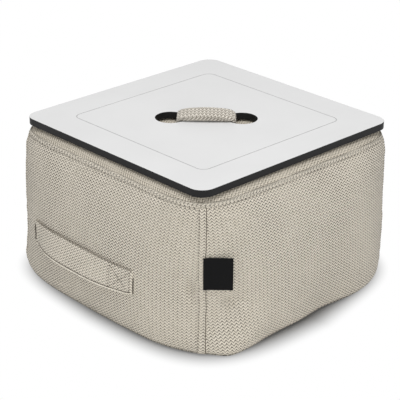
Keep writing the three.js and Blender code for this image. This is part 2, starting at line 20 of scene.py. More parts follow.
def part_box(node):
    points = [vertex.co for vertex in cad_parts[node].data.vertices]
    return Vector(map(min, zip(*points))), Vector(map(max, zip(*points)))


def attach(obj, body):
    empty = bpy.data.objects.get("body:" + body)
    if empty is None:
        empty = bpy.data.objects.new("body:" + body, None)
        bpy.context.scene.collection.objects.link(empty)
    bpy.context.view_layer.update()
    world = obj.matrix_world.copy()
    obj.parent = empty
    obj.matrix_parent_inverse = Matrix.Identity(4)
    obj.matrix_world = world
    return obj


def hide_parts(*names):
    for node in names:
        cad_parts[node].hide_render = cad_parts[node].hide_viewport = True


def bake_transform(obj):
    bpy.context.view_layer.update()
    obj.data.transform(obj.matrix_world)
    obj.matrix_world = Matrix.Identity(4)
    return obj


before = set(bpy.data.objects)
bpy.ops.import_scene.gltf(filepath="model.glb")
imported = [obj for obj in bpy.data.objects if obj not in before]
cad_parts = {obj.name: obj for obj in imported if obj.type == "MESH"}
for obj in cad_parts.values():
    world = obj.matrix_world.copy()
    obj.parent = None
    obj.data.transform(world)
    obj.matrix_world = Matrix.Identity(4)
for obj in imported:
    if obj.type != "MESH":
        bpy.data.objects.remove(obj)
log = logging.getLogger("pouf")

MM = 0.001
# Direction of the line through both finger holes, seen from above.
DIAGONAL = -math.pi / 4
# Body that all the others hang on.
ROOT = "pouf"
# The map that gives places on the cloth.
UV_NAME = "cloth"
# Length that one turn stands for where soft waves run round the pouf.
SIDE_RUN = 500 * MM
SIDE_NAMES = ("right", "back", "left", "front")
CORNER_NAMES = ("front_right", "back_right", "back_left", "front_left")


def srgb(red: float, green: float, blue: float) -> tuple[float, float, float, float]:
    """Turn a colour of 0 to 255 per channel, as a screen shows it, into linear light.

    Args:
        red: red level.
        green: green level.
        blue: blue level.

    Returns:
        The linear colour with full opacity.
    """
    level = np.array([red, green, blue]) / 255
    linear = np.where(level <= 0.04045, level / 12.92, ((level + 0.055) / 1.055) ** 2.4)
    return (*linear.tolist(), 1.0)


class Socket:
    """A shader value: arithmetic on it adds Math nodes to its tree."""

    def __init__(self, shader: "Shader", end: bpy.types.NodeSocket) -> None:
        """Keep the tree and the node output that carries the value."""
        self.shader = shader
        self.end = end

    def math(self, operation: str, *values: "Socket | float") -> "Socket":
        """Add one Math node.

        Args:
            operation: Blender's name of the operation.
            values: the node's inputs in order.

        Returns:
            The node's result.
        """
        return self.shader.node("ShaderNodeMath", {"operation": operation}, dict(enumerate(values)))

    def __add__(self, other: "Socket | float") -> "Socket":
        """Give self + other."""
        return self.math("ADD", self, other)

    __radd__ = __add__

    def __sub__(self, other: "Socket | float") -> "Socket":
        """Give self - other."""
        return self.math("SUBTRACT", self, other)

    def __rsub__(self, other: float) -> "Socket":
        """Give other - self."""
        return self.math("SUBTRACT", other, self)

    def __mul__(self, other: "Socket | float") -> "Socket":
        """Give self * other."""
        return self.math("MULTIPLY", self, other)

    __rmul__ = __mul__

    def __truediv__(self, other: "Socket | float") -> "Socket":
        """Give self / other."""
        return self.math("DIVIDE", self, other)

    def __rtruediv__(self, other: float) -> "Socket":
        """Give other / self."""
        return self.math("DIVIDE", other, self)

    def __pow__(self, exponent: float) -> "Socket":
        """Give self to a power; self is never negative where this is used."""
        return self.math("POWER", self, exponent)

    def abs(self) -> "Socket":
        """Give the distance from zero."""
        return self.math("ABSOLUTE", self)

    def fract(self) -> "Socket":
        """Give the part after the whole number."""
        return self.math("FRACT", self)

    def floor(self) -> "Socket":
        """Give the whole number below."""
        return self.math("FLOOR", self)

    def sine(self) -> "Socket":
        """Give the sine of an angle."""
        return self.math("SINE", self)

    def at_least(self, other: "Socket | float") -> "Socket":
        """Give the larger of self and other."""
        return self.math("MAXIMUM", self, other)

    def above(self, low: float, high: float) -> "Socket":
        """Rise smoothly from 0 at low to 1 at high."""
        settings = {"interpolation_type": "SMOOTHSTEP"}
        inputs = {"Value": self, "From Min": low, "From Max": high}
        return self.shader.node("ShaderNodeMapRange", settings, inputs)


class Shader:
    """One node tree, with a method for its nodes and a few that the finishes share."""

    def __init__(self, tree: bpy.types.NodeTree) -> None:
        """Keep the tree that the nodes go into."""
        self.tree = tree

    @staticmethod
    def named(name: str) -> tuple["Shader", bpy.types.Material]:
        """Start a material and give its shader and itself."""
        material = bpy.data.materials.new(name)
        material.use_nodes = True
        return Shader(material.node_tree), material

    def node(self, kind: str, settings: dict, inputs: dict, output: int | str = 0) -> Socket:
        """Add any node.

        Args:
            kind: Blender's type of the node.
            settings: its options, set first.
            inputs: values or sockets by the input's name or number.
            output: name or number of the output that is wanted.

        Returns:
            That output.
        """
        node = self.tree.nodes.new(kind)
        for key, value in settings.items():
            setattr(node, key, value)
        self.feed(node, inputs)
        return Socket(self, node.outputs[output])

    def feed(self, node: bpy.types.Node, inputs: dict) -> None:
        """Set or link a node's inputs.

        Args:
            node: the node.
            inputs: values or sockets by the input's name or number.
        """
        for key, value in inputs.items():
            if isinstance(value, Socket):
                self.tree.links.new(value.end, node.inputs[key])
            else:
                node.inputs[key].default_value = value

    def surface(self, **inputs: "Socket | float | tuple") -> None:
        """Feed the principled shader; an underscore in a name stands for a space."""
        node = self.tree.nodes["Principled BSDF"]
        self.feed(node, {key.replace("_", " "): value for key, value in inputs.items()})

    def split(self, place: Socket) -> tuple[Socket, Socket]:
        """Give the first two of three coordinates."""
        first = self.node("ShaderNodeSeparateXYZ", {}, {"Vector": place})
        return first, Socket(self, first.end.node.outputs[1])

    def cloth_place(self) -> tuple[Socket, Socket]:
        """Give the place on the cloth, in metres across and along it."""
        return self.split(self.node("ShaderNodeUVMap", {"uv_map": UV_NAME}, {}))

    def object_place(self) -> Socket:
        """Give the Object coordinates."""
        return self.node("ShaderNodeTexCoord", {}, {}, "Object")

    def noise(self, place: Socket, scale: float, detail: float = 2.0, rough: float = 0.5) -> Socket:
        """Add a noise.

        Args:
            place: coordinates that it reads.
            scale: features per metre.
            detail: octaves.
            rough: weight of each further octave.

        Returns:
            Its value, about 0.5 on average.
        """
        inputs = {"Vector": place, "Scale": scale, "Detail": detail, "Roughness": rough}
        return self.node("ShaderNodeTexNoise", {}, inputs, "Fac")

    def stretched(self, place: Socket, scale: tuple[float, float, float]) -> Socket:
        """Give coordinates stretched by a scale on each axis."""
        return self.node("ShaderNodeMapping", {}, {"Vector": place, "Scale": scale})

    def pair(self, across: Socket, along: Socket) -> Socket:
        """Join two values to coordinates."""
        return self.node("ShaderNodeCombineXYZ", {}, {0: across, 1: along})

    def mix(self, amount: "Socket | float", one: "Socket | tuple", other: "Socket | tuple") -> Socket:
        """Mix two colours; amount 1 gives the other."""
        return self.node("ShaderNodeMix", {"data_type": "RGBA"}, {0: amount, 6: one, 7: other}, 2)

    def bump(self, height: Socket, depth: float) -> Socket:
        """Give a normal that follows a relief of a depth in metres."""
        return self.node("ShaderNodeBump", {}, {"Strength": 1.0, "Distance": depth, "Height": height})


@dataclass(frozen=True)
class Finish:
    """What a surface is finished with: its name, a light and a dark shade, and the nodes of its kind."""

    name: str
    light: tuple
    shade: tuple

    def build(self) -> bpy.types.Material:
        """Make the material."""
        shader, material = Shader.named(self.name)
        self.wire(shader)
        return material

    def wire(self, shader: Shader) -> None:
        """Add the nodes and feed the surface; each kind of finish has its own."""
        raise NotImplementedError


@dataclass(frozen=True)
class WeaveFinish(Finish):
    """A chunky weave whose yarns run in rows of chevrons.

    Across the cloth, lean rises from 0 to 1 and back once per chevron. A yarn is one row high, and its row is
    shifted up by slant times lean: run = along / row + slant lean. Its round back is 1 - (2 fract(run) - 1)^2, and
    it ducks under at the foot of the chevron, which leaves a round hollow where two rows meet. The third colour is
    painted shade: full in those hollows and fainter along the lines between rows. Round the front corner, at the
    lowest x + y, corner_calm takes that share off the painted shade and calm_tone darkens the yarns a little, as the
    photo has less contrast there.
    """

    # Colour of the painted shade in the hollows between yarns and, fainter, along the lines between rows.
    pit_shade: tuple
    chevron: float = 8.0 * MM
    row: float = 5.45 * MM
    slant: float = 0.8
    tilt: float = 0.06
    relief: float = 0.9 * MM
    pit_across: float = 1.5 * MM
    pit_along: float = 1.3 * MM
    groove_shade: tuple[float, float] = (0.42, 1.0)
    corner_calm: float = 0.0
    corner: tuple[float, float] = (-0.48, -0.36)
    calm_tone: float = 0.7
    pit_edge: tuple[float, float] = (0.2, 1.3)
    fibre_scale: float = 900.0
    cloud_scale: float = 11.0
    tone_shares: tuple[float, float, float] = (0.4, 0.35, 0.35)
    least_shade_depth: float = 0.6
    roughness: float = 0.84
    fuzz: float = 0.12

    def wire(self, shader: Shader) -> None:
        """Add the nodes and feed the surface."""
        across, along = shader.cloth_place()
        place = shader.object_place()
        column = across / self.chevron
        lean = (column.fract() - 0.5).abs() * 2
        run = (along + across * self.tilt) / self.row + lean * self.slant
        offset = (run.fract() * 2 - 1).abs()
        yarn = 1 - offset * offset
        aside = lean * (self.chevron / 2 / self.pit_across)
        below = (1 - offset) * (self.row / 2 / self.pit_along)
        # Painted shade mask: 1 in the round hollow between two rows, 0 on the yarns; it also lowers the bump there.
        pit_shade = 1 - (aside * aside + below * below).above(*self.pit_edge)
        cell = shader.pair((column * 2).floor(), run.floor())
        stitch = shader.node("ShaderNodeTexWhiteNoise", {"noise_dimensions": "2D"}, {"Vector": cell}, "Value")
        fibre = shader.noise(shader.stretched(place, (1.0, 1.0, 2.0)), self.fibre_scale, 3.0, 0.6)
        cloud = shader.noise(place, self.cloud_scale, 3.0)
        x, y = shader.split(place)
        calm = (1 - (x + y).above(*self.corner)) * self.corner_calm
        by_stitch, by_fibre, by_cloud = self.tone_shares
        tone = stitch * by_stitch + fibre * by_fibre + cloud * by_cloud - calm * self.calm_tone
        thread = shader.mix(tone, self.shade, self.light)
        # Painted shade: the lines between rows, then the hollows, are mixed towards the dark colour, as deep as the
        # cloud allows and less round the front corner.
        depth = (cloud.above(0.25, 0.75) * (1 - self.least_shade_depth) + self.least_shade_depth) * (1 - calm)
        groove_shaded = shader.mix(offset.above(*self.groove_shade) * depth, thread, self.pit_shade)
        colour = shader.mix(pit_shade * depth, groove_shaded, self.pit_shade)
        relief = yarn * (1 - pit_shade * 0.6) + fibre * self.fuzz
        shader.surface(Base_Color=colour, Roughness=fibre * self.fuzz + self.roughness,
                       Normal=shader.bump(relief, self.relief), Sheen_Weight=0.12, Sheen_Roughness=0.5,
                       Specular_IOR_Level=0.2)


@dataclass(frozen=True)
class PlainClothFinish(Finish):
    """A tight plain weave: the product of two sine waves stands for over and under, and the colour darkens where a yarn
    dips under, as painted shade.
    """

    pitch: float = 0.7 * MM
    relief: float = 0.12 * MM
    roughness: float = 0.85
    sheen: float = 0.15
    gloss: float = 0.25

    def wire(self, shader: Shader) -> None:
        """Add the nodes and feed the surface."""
        across, along = shader.cloth_place()
        place = shader.object_place()
        turn = 2 * math.pi / self.pitch
        over = (across * turn).sine() * (along * turn).sine() * 0.5 + 0.5
        cloud = shader.noise(place, 40.0, 3.0)
        # Painted shade: darker where a yarn dips under, mixed with a cloud.
        colour = shader.mix(over * 0.6 + cloud * 0.4, self.shade, self.light)
        shader.surface(Base_Color=colour, Roughness=self.roughness - over * 0.1,
                       Normal=shader.bump(over, self.relief), Sheen_Weight=self.sheen, Specular_IOR_Level=self.gloss)


@dataclass(frozen=True)
class LaminateFinish(Finish):
    """A matt melamine face: almost even, with a faint cloudiness and a very fine pressed texture."""

    roughness: float = 0.42

    def wire(self, shader: Shader) -> None:
        """Add the nodes and feed the surface."""
        place = shader.object_place()
        cloud = shader.noise(place, 7.0, 4.0)
        grain = shader.noise(place, 1400.0, 2.0)
        colour = shader.mix(cloud.above(0.3, 0.7), self.shade, self.light)
        shader.surface(Base_Color=colour, Roughness=grain * 0.12 + cloud * 0.08 + (self.roughness - 0.1),
                       Normal=shader.bump(grain, 0.03 * MM), Specular_IOR_Level=0.35)


@dataclass(frozen=True)
class CoreFinish(Finish):
    """The cut edge of a paper-layered core: thin level layers, with faint marks of the cutter."""

    def wire(self, shader: Shader) -> None:
        """Add the nodes and feed the surface."""
        place = shader.object_place()
        layers = shader.noise(shader.stretched(place, (0.02, 0.02, 1.0)), 3200.0, 2.0)
        marks = shader.noise(shader.stretched(place, (1.0, 1.0, 0.06)), 900.0, 2.0)
        dust = shader.noise(place, 60.0, 3.0)
        colour = shader.mix(layers * 0.6 + dust * 0.4, self.shade, self.light)
        shader.surface(Base_Color=colour, Roughness=marks * 0.15 + dust * 0.1 + 0.42,
                       Normal=shader.bump(layers * 0.5 + marks * 0.5, 0.05 * MM), Specular_IOR_Level=0.25)


@dataclass(frozen=True)
class ThreadFinish(Finish):
    """Sewing thread: a twisted ply, with small changes of shade along it."""

    def wire(self, shader: Shader) -> None:
        """Add the nodes and feed the surface."""
        place = shader.object_place()
        ply = shader.noise(shader.stretched(place, (1.0, 1.0, 1.6)), 1800.0, 2.0)
        colour = shader.mix(ply, self.shade, self.light)
        shader.surface(Base_Color=colour, Roughness=ply * 0.2 + 0.6, Normal=shader.bump(ply, 0.1 * MM),
                       Specular_IOR_Level=0.3)


@dataclass(frozen=True)
class BeadFinish(Finish):
    """Foam beads pressed together: round cells, with painted shade darkening the gaps between them."""

    size: float = 4.0 * MM

    def wire(self, shader: Shader) -> None:
        """Add the nodes and feed the surface."""
        inputs = {"Vector": shader.object_place(), "Scale": 1 / self.size}
        reach = shader.node("ShaderNodeTexVoronoi", {}, inputs, "Distance")
        round_back = 1 - reach * reach
        colour = shader.mix(round_back.above(0.3, 0.9), self.shade, self.light)
        shader.surface(Base_Color=colour, Roughness=0.9 - round_back * 0.2,
                       Normal=shader.bump(round_back, 1.2 * MM), Specular_IOR_Level=0.3)


@dataclass(frozen=True)
class CastFinish(Finish):
    """A small zinc casting: dull, with a fine skin and worn brighter in places."""

    def wire(self, shader: Shader) -> None:
        """Add the nodes and feed the surface."""
        place = shader.object_place()
        wear = shader.noise(place, 260.0, 4.0)
        skin = shader.noise(place, 2600.0, 2.0)
        colour = shader.mix(wear.above(0.4, 0.65), self.shade, self.light)
        shader.surface(Base_Color=colour, Metallic=0.85, Roughness=skin * 0.2 + 0.5 - wear * 0.25,
                       Normal=shader.bump(skin, 0.04 * MM))


@functools.cache
def material_of(finish: Finish) -> bpy.types.Material:
    """Make a finish's material once."""
    return finish.build()


# The third colour of each weave is its painted shade, in the hollows between yarns and along the lines between rows.
COVER = WeaveFinish("cover weave", srgb(226, 218, 204), srgb(205, 197, 181), srgb(30, 24, 16), corner_calm=0.28)
STRAP = WeaveFinish("strap weave", srgb(230, 222, 208), srgb(210, 202, 186), srgb(50, 43, 33))
# A darker copy of the cover weave, as painted shade: it stands for the shade under the tray's edge and in the finger
# holes.
TOP_SHADED = WeaveFinish("shaded top weave", srgb(208, 200, 186), srgb(192, 184, 168), srgb(104, 96, 82))
# A slightly darker copy of the strap weave, as painted shade on the tray's strap, which faces the overhead lamp; its
# hollows get lighter painted shade.
HANDLE_SHADED = WeaveFinish("shaded handle weave", srgb(223, 217, 206), srgb(205, 199, 188), srgb(142, 135, 124), chevron=6.9 * MM,
                     row=12.4 * MM, pit_across=3.0 * MM, pit_along=5.2 * MM, groove_shade=(0.3, 1.0))
# Plain hem cloth, paler than the strap weave and without its hollows, as a painted highlight along the side strap's
# lower edge.
HEM_HIGHLIGHT = PlainClothFinish("hem highlight cloth", srgb(246, 239, 225), srgb(222, 214, 198), pitch=1.4 * MM, relief=0.25 * MM)
BASE = WeaveFinish("base weave", srgb(184, 178, 166), srgb(160, 154, 142), srgb(60, 55, 47))
LINER = PlainClothFinish("liner cloth", srgb(236, 234, 228), srgb(214, 211, 204))
PATCH = PlainClothFinish("patch cloth", srgb(150, 145, 132), srgb(120, 114, 102), pitch=1.2 * MM, relief=0.25 * MM)
LABEL = PlainClothFinish("label satin", srgb(13, 13, 14), srgb(6, 6, 7), pitch=0.5 * MM, relief=0.08 * MM,
                         roughness=0.8, sheen=0.0, gloss=0.14)
TAPE = PlainClothFinish("zip tape", srgb(44, 44, 46), srgb(24, 24, 26), pitch=0.9 * MM, relief=0.15 * MM)
# Dark thread as painted shade: in the stitch holes on both straps, and as the shadow in the side strap's slits.
SHADOW_THREAD = ThreadFinish("shadow thread", srgb(100, 92, 80), srgb(66, 60, 50))
# Dark thread as painted shadow: along the top seam's two lines, in the corner seams' stitch holes and in the fold
# beside each corner seam.
CREASE_SHADOW = ThreadFinish("seam crease shadow", srgb(112, 104, 90), srgb(78, 71, 60))
COIL = ThreadFinish("zip coil", srgb(48, 48, 50), srgb(26, 26, 28))
WHITE = LaminateFinish("white laminate", srgb(208, 208, 208), srgb(205, 205, 205))
# Darker grey than the laminate, as painted shade in the scored groove.
SCORED_SHADE = LaminateFinish("scored line", srgb(168, 168, 168), srgb(160, 160, 160), roughness=0.55)
CORE = CoreFinish("laminate core", srgb(23, 23, 24), srgb(13, 13, 14))
# The darker colour is painted shade in the gaps between beads.
BEADS = BeadFinish("foam beads", srgb(244, 244, 242), srgb(198, 198, 194))
ZINC = CastFinish("zip casting", srgb(158, 160, 163), srgb(120, 122, 126))


class Close(Enum):
    """How a grid of points closes on itself."""

    OPEN = "open"
    ACROSS = "across"


def grid_faces(rows: int, columns: int, close: Close) -> tuple[np.ndarray, np.ndarray]:
    """Number the corners of a grid's quads: point (r, c) is r columns + c, and a closed row wraps round.

    Args:
        rows: rows of points.
        columns: points in a row.
        close: whether its rows are closed.

    Returns:
        Each quad's four points, and the same corners as unwrapped row and column numbers.
    """
    over = columns if close is Close.ACROSS else columns - 1
    row, column = np.meshgrid(np.arange(rows - 1), np.arange(over), indexing="ij")
    corner_rows = np.stack([row, row, row + 1, row + 1], -1).reshape(-1, 4)
    corner_columns = np.stack([column, column + 1, column + 1, column], -1).reshape(-1, 4)
    points = corner_rows * columns + corner_columns % columns
    return points, np.stack([corner_rows, corner_columns], -1)


def mesh_object(name: str, points: np.ndarray, faces: list, uv: np.ndarray | None = None) -> bpy.types.Object:
    """Put points and smooth-shaded faces into a new object.

    Args:
        name: the piece's name.
        points: places, one row each.
        faces: point numbers of each face.
        uv: places on the cloth, one row per face corner.

    Returns:
        The linked object.
    """
    mesh = bpy.data.meshes.new(name)
    mesh.from_pydata(points.tolist(), [], faces)
    if uv is not None:
        layer = mesh.uv_layers.new(name=UV_NAME)
        layer.data.foreach_set("uv", uv.astype(np.float32).ravel())
    mesh.polygons.foreach_set("use_smooth", np.full(len(faces), True))
    mesh.update()
    piece = bpy.data.objects.new(name, mesh)
    bpy.context.scene.collection.objects.link(piece)
    return piece


def grid_object(name: str, points: np.ndarray, uv: np.ndarray, close: Close = Close.OPEN,
                pole: np.ndarray | None = None, caps: bool = False) -> bpy.types.Object:
    """Make a piece from a grid of points.

    Args:
        name: the piece's name.
        points: places, as rows, columns and three coordinates.
        uv: places on the cloth; closed rows have one column more than points has.
        close: whether the grid's rows are closed.
        pole: a point that closes the last row as a fan, if any.
        caps: whether the first and last rows are closed by a flat face with a hard edge.

    Returns:
        The linked object.
    """
    rows, columns = points.shape[:2]
    faces, corners = grid_faces(rows, columns, close)
    places = uv[corners[..., 0], corners[..., 1]].reshape(-1, 2)
    vertices = points.reshape(-1, 3)
    face_list = faces.tolist()
    if pole is not None:
        last = (rows - 1) * columns
        ring = np.arange(columns)
        tip = np.full(columns, len(vertices))
        face_list += np.stack([last + ring, last + (ring + 1) % columns, tip], -1).tolist()
        fan = np.stack([uv[-1, :columns], uv[-1, (ring + 1) % columns], np.zeros((columns, 2))], 1)
        places = np.concatenate([places, fan.reshape(-1, 2)])
        vertices = np.concatenate([vertices, pole[None]])
    if caps:
        first = np.arange(columns)[::-1]
        last = (rows - 1) * columns + np.arange(columns)
        face_list += [first.tolist(), last.tolist()]
        places = np.concatenate([places, uv[0, first], uv[-1, np.arange(columns)]])
    piece = mesh_object(name, vertices, face_list, places)
    if caps:
        harden_caps(piece, columns, rows)
    return piece


def harden_caps(piece: bpy.types.Object, columns: int, rows: int) -> None:
    """Shade the two end faces of a capped grid flat, with hard edges round them.

    Args:
        piece: the capped grid, whose end faces are its last two.
        columns: points in a row.
        rows: rows of points.
    """
    mesh = piece.data
    ends = np.empty(len(mesh.edges) * 2, dtype=np.int32)
    mesh.edges.foreach_get("vertices", ends)
    row = ends.reshape(-1, 2) // columns
    hard = (row[:, 0] == row[:, 1]) & np.isin(row[:, 0], (0, rows - 1))
    mark = mesh.attributes.new("sharp_edge", "BOOLEAN", "EDGE")
    mark.data.foreach_set("value", hard)


def arc_lengths(points: np.ndarray, axis: int) -> np.ndarray:
    """Give the running length along one axis of a grid of points, from 0."""
    steps = np.linalg.norm(np.diff(points, axis=axis), axis=-1)
    pad = [(0, 0)] * steps.ndim
    pad[axis] = (1, 0)
    return np.pad(np.cumsum(steps, axis=axis), pad)


def thicken(piece: bpy.types.Object, thickness: float) -> None:
    """Give a sheet its thickness, inwards, with its rim closed."""
    solid = piece.modifiers.new("thickness", "SOLIDIFY")
    solid.thickness = thickness
    solid.offset = -1


def material_numbers(piece: bpy.types.Object) -> np.ndarray:
    """Give the finish number of each face of a piece."""
    numbers = np.empty(len(piece.data.polygons), dtype=np.int32)
    piece.data.polygons.foreach_get("material_index", numbers)
    return numbers


def dress(piece: bpy.types.Object, *finishes: Finish) -> None:
    """Put finishes on a piece, one to a slot."""
    piece.data.materials.clear()
    for finish in finishes:
        piece.data.materials.append(material_of(finish))


def settle(piece: bpy.types.Object, slot: str, *nodes: str, body: str | None = ROOT) -> None:
    """Tie a dressed piece to the frame.

    Args:
        piece: the piece.
        slot: the record's material slot; not used.
        nodes: the nodes that it stands for.
        body: the body that it rides on, or None where it rides on none.
    """
    if nodes:
        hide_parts(*nodes)
    if body:
        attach(piece, body)
    log.info("%s: %d points, for %s", piece.name, len(piece.data.vertices), ", ".join(nodes) or "detail")


def crowded(count: int, edge: float = 0.5) -> np.ndarray:
    """Give places from -1 to 1, closer at both ends: x (1 + k - k x^2), with slope 1 - 2 k = edge at the ends."""
    place = np.linspace(-1, 1, count)
    k = (1 - edge) / 2
    return place * (1 + k - k * place ** 2)


def ripple(across: np.ndarray, along: np.ndarray, length: float, seed: int) -> np.ndarray:
    """Give soft waves: a sum of plane waves of 0.7 to 1.4 wavelengths, with seeded directions and phases.

    Args:
        across: place across, in metres.
        along: place along, in metres.
        length: wavelength in metres.
        seed: number that fixes the waves.

    Returns:
        Values of about -1 to 1.
    """
    waves = 7
    draw = np.random.default_rng(seed)
    total = np.zeros(np.broadcast(across, along).shape)
    for heading, phase, stretch in draw.uniform(0, 1, (waves, 3)):
        wave = 2 * math.pi / (length * (0.7 + 0.7 * stretch))
        reach = across * math.cos(math.pi * heading) + along * math.sin(math.pi * heading)
        total += np.sin(wave * reach + 2 * math.pi * phase)
    return total / (waves / 2)


def hill(distance: np.ndarray, reach: float) -> np.ndarray:
    """Give a bell curve, exp(-(distance / reach)^2)."""
    return np.exp(-(distance / reach) ** 2)


def unit(vectors: np.ndarray) -> np.ndarray:
    """Give vectors of length 1 in the same directions."""
    return vectors / np.linalg.norm(vectors, axis=-1, keepdims=True)


def powered(value: np.ndarray, exponent: np.ndarray | float) -> np.ndarray:
    """Raise a value's size to a power and keep its sign, as a superellipse needs."""
    return np.sign(value) * np.abs(value) ** exponent


def wrapped(grid: np.ndarray) -> np.ndarray:
    """Add a grid's first column after its last."""
    return np.concatenate([grid, grid[:, :1]], 1)


def on_diagonal(along: np.ndarray, across: np.ndarray, *more: np.ndarray) -> np.ndarray:
    """Give points from lengths along and across the line of the finger holes, with heights where they are given."""
    cos, sin = math.cos(DIAGONAL), math.sin(DIAGONAL)
    return np.stack([along * cos - across * sin, along * sin + across * cos, *more], -1)


@dataclass(frozen=True)
class Puff:
    """A soft swelling of the cover, or a dent where out is negative: a bell curve round one place."""

    turn: float
    height: float
    reach_turn: float
    reach_height: float
    out: float


@dataclass
class PoufShape:
    """The pouf's outer skin.

    A place on it is a turn, 0 to 4 round the pouf with whole numbers at the corners (3 is the photographed one), and
    an arc, the length up the middle of a face from the floor. A level section is the superellipse
    x = face / (1 + |s|^n)^(1/n), y = s x, with n = ln 2 / ln(face / corner). From its widest height the swell fades
    upwards as a parabola, and downwards the skin rolls in to the base. Over the top seam it dives under the board.
    Puffs, lumps and the simulated swelling of the stuffed cover move it outwards or inwards.
    """

    height: float = 287 * MM
    seam_drop: float = 13 * MM
    roll: float = 42 * MM
    roll_power: float = 1.9
    corner_roll: float = 0.85
    shoulder: float = 4 * MM
    shoulder_reach: float = 35 * MM
    seam_face: float = 247 * MM
    corner_draw_in: float = 17.5 * MM
    face_swell: float = 36 * MM
    corner_swell: float = 4 * MM
    widest: float = 78 * MM
    face_tuck: float = 42 * MM
    corner_tuck: float = 17 * MM
    tuck_power: float = 5.0
    base_seam: float = 2.5 * MM
    lump: float = 0.9 * MM
    lump_wave: float = 120 * MM
    lump_clear: float = 0.05
    sag: float = 4.5 * MM
    sag_reach: float = 125 * MM
    held_height: float = 267.5 * MM
    wall_steps: int = 3000
    roll_steps: int = 200
    stuffed: np.ndarray = field(default_factory=lambda: np.zeros((2, 4)))
    puffs: tuple[Puff, ...] = (
        Puff(3.17, 15 * MM, 0.1, 38 * MM, 15 * MM),
        Puff(3.57, 18 * MM, 0.09, 45 * MM, -8 * MM),
        Puff(0.0, 150 * MM, 0.22, 110 * MM, -4.5 * MM),
        Puff(2.0, 170 * MM, 0.2, 110 * MM, 2.0 * MM),
        Puff(2.0, 18 * MM, 0.12, 45 * MM, 7 * MM),
        Puff(0.0, 20 * MM, 0.12, 50 * MM, -3 * MM),
        Puff(3.02, 6 * MM, 0.1, 28 * MM, 8 * MM),
        Puff(3.11, 3 * MM, 0.05, 16 * MM, 9 * MM),
        Puff(3.14, 98 * MM, 0.045, 17 * MM, -11 * MM),
        Puff(2.945, 118 * MM, 0.026, 26 * MM, -10 * MM),
    )

    def __post_init__(self) -> None:
        """Tabulate face, corner and height against the arc, from the floor to the flat top."""
        self.seam_height = self.height - self.seam_drop
        z = self.seam_height * np.linspace(0, 1, self.wall_steps) ** 2
        low = np.clip(1 - z / self.widest, 0, 1) ** self.tuck_power
        high = np.clip((z - self.widest) / (self.seam_height - self.widest), 0, 1)
        tuck = 1 - (1 - low) ** (1 / self.tuck_power)
        swell = 1 - high ** 2
        seam_corner = self.seam_face - self.corner_draw_in
        face = self.seam_face + self.face_swell * swell - self.face_tuck * tuck
        slope = np.clip(1 - (self.seam_height - z) / self.shoulder_reach, 0, 1) ** 2
        corner = seam_corner + self.corner_swell * swell - self.corner_tuck * tuck - self.shoulder * slope
        angle = np.linspace(0, math.pi / 2, self.roll_steps)[1:]
        inward = self.roll * (1 - np.cos(angle) ** (2 / self.roll_power))
        self.face = np.concatenate([face, self.seam_face - inward])
        self.corner = np.concatenate([corner, corner[-1] - inward * self.corner_roll])
        self.z = np.concatenate([z, self.seam_height + self.seam_drop * np.sin(angle) ** (2 / self.roll_power)])
        self.arc = arc_lengths(np.stack([self.face, self.z], -1), 0)
        self.seam_arc = self.arc_at(self.seam_height)
        self.base_arc = self.arc_at(self.base_seam)
        self.top_arc = self.arc[-1]

    def arc_at(self, z: np.ndarray | float) -> np.ndarray | float:
        """Give the arc of a height."""
        return np.interp(z, self.z, self.arc)

    def skin(self, turn: np.ndarray, arc: np.ndarray) -> np.ndarray:
        """Give places on the skin.

        Args:
            turn: places round the pouf.
            arc: places up it.

        Returns:
            Points, in the arguments' common shape.
        """
        turn, arc = np.broadcast_arrays(turn, arc)
        face, corner, z = (np.interp(arc, self.arc, table) for table in (self.face, self.corner, self.z))
        power = math.log(2) / np.log(face / corner)
        side = np.floor(turn)
        s = 2 * (turn - side) - 1
        x = face / (1 + np.abs(s) ** power) ** (1 / power)
        lean = powered(s, power - 1)
        flat = np.stack([x, s * x], -1)
        out = unit(np.stack([np.ones_like(lean), lean], -1))
        flat = flat + out * (self._swelling(turn, z) + self._stuffing(turn, arc))[..., None]
        cos, sin = np.cos(side * math.pi / 2), np.sin(side * math.pi / 2)
        return np.stack([flat[..., 0] * cos - flat[..., 1] * sin, flat[..., 0] * sin + flat[..., 1] * cos, z], -1)

    def _swelling(self, turn: np.ndarray, z: np.ndarray) -> np.ndarray:
        """Add up the puffs, each a bell curve in turn (which wraps at 4) and in height, and lumps clear of corners."""
        corner = (turn + 0.5) % 1 - 0.5
        total = self.lump * ripple(turn * SIDE_RUN, z, self.lump_wave, seed=7) * (1 - hill(corner, self.lump_clear))
        for puff in self.puffs:
            apart = (turn - puff.turn + 2) % 4 - 2
            total = total + puff.out * hill(apart, puff.reach_turn) * hill(z - puff.height, puff.reach_height)
        return total

    def _stuffing(self, turn: np.ndarray, arc: np.ndarray) -> np.ndarray:
        """Read the simulated swelling, in straight lines between the cage's points, which wrap round at turn 4."""
        rows, columns = self.stuffed.shape
        across = turn % 4 * columns / 4
        up = np.clip((arc - self.base_arc) / (self.arc_at(self.held_height) - self.base_arc), 0, 1) * (rows - 1)
        left, low = np.floor(across).astype(int), np.minimum(up.astype(int), rows - 2)
        near, far = (self.stuffed[low, side % columns] + (up - low) * (self.stuffed[low + 1, side % columns]
                     - self.stuffed[low, side % columns]) for side in (left, left + 1))
        return near + (across - left) * (far - near)

    def outward(self, turn: np.ndarray, arc: np.ndarray) -> np.ndarray:
        """Give the skin's outward directions, the cross product of its two tangents.

        Args:
            turn: places round the pouf.
            arc: places up it.

        Returns:
            Unit vectors.
        """
        step = 1e-4
        low, high = np.maximum(arc - step, 0), np.minimum(arc + step, self.top_arc)
        round_it = self.skin(turn + step, arc) - self.skin(turn - step, arc)
        return unit(np.cross(round_it, self.skin(turn, high) - self.skin(turn, low)))

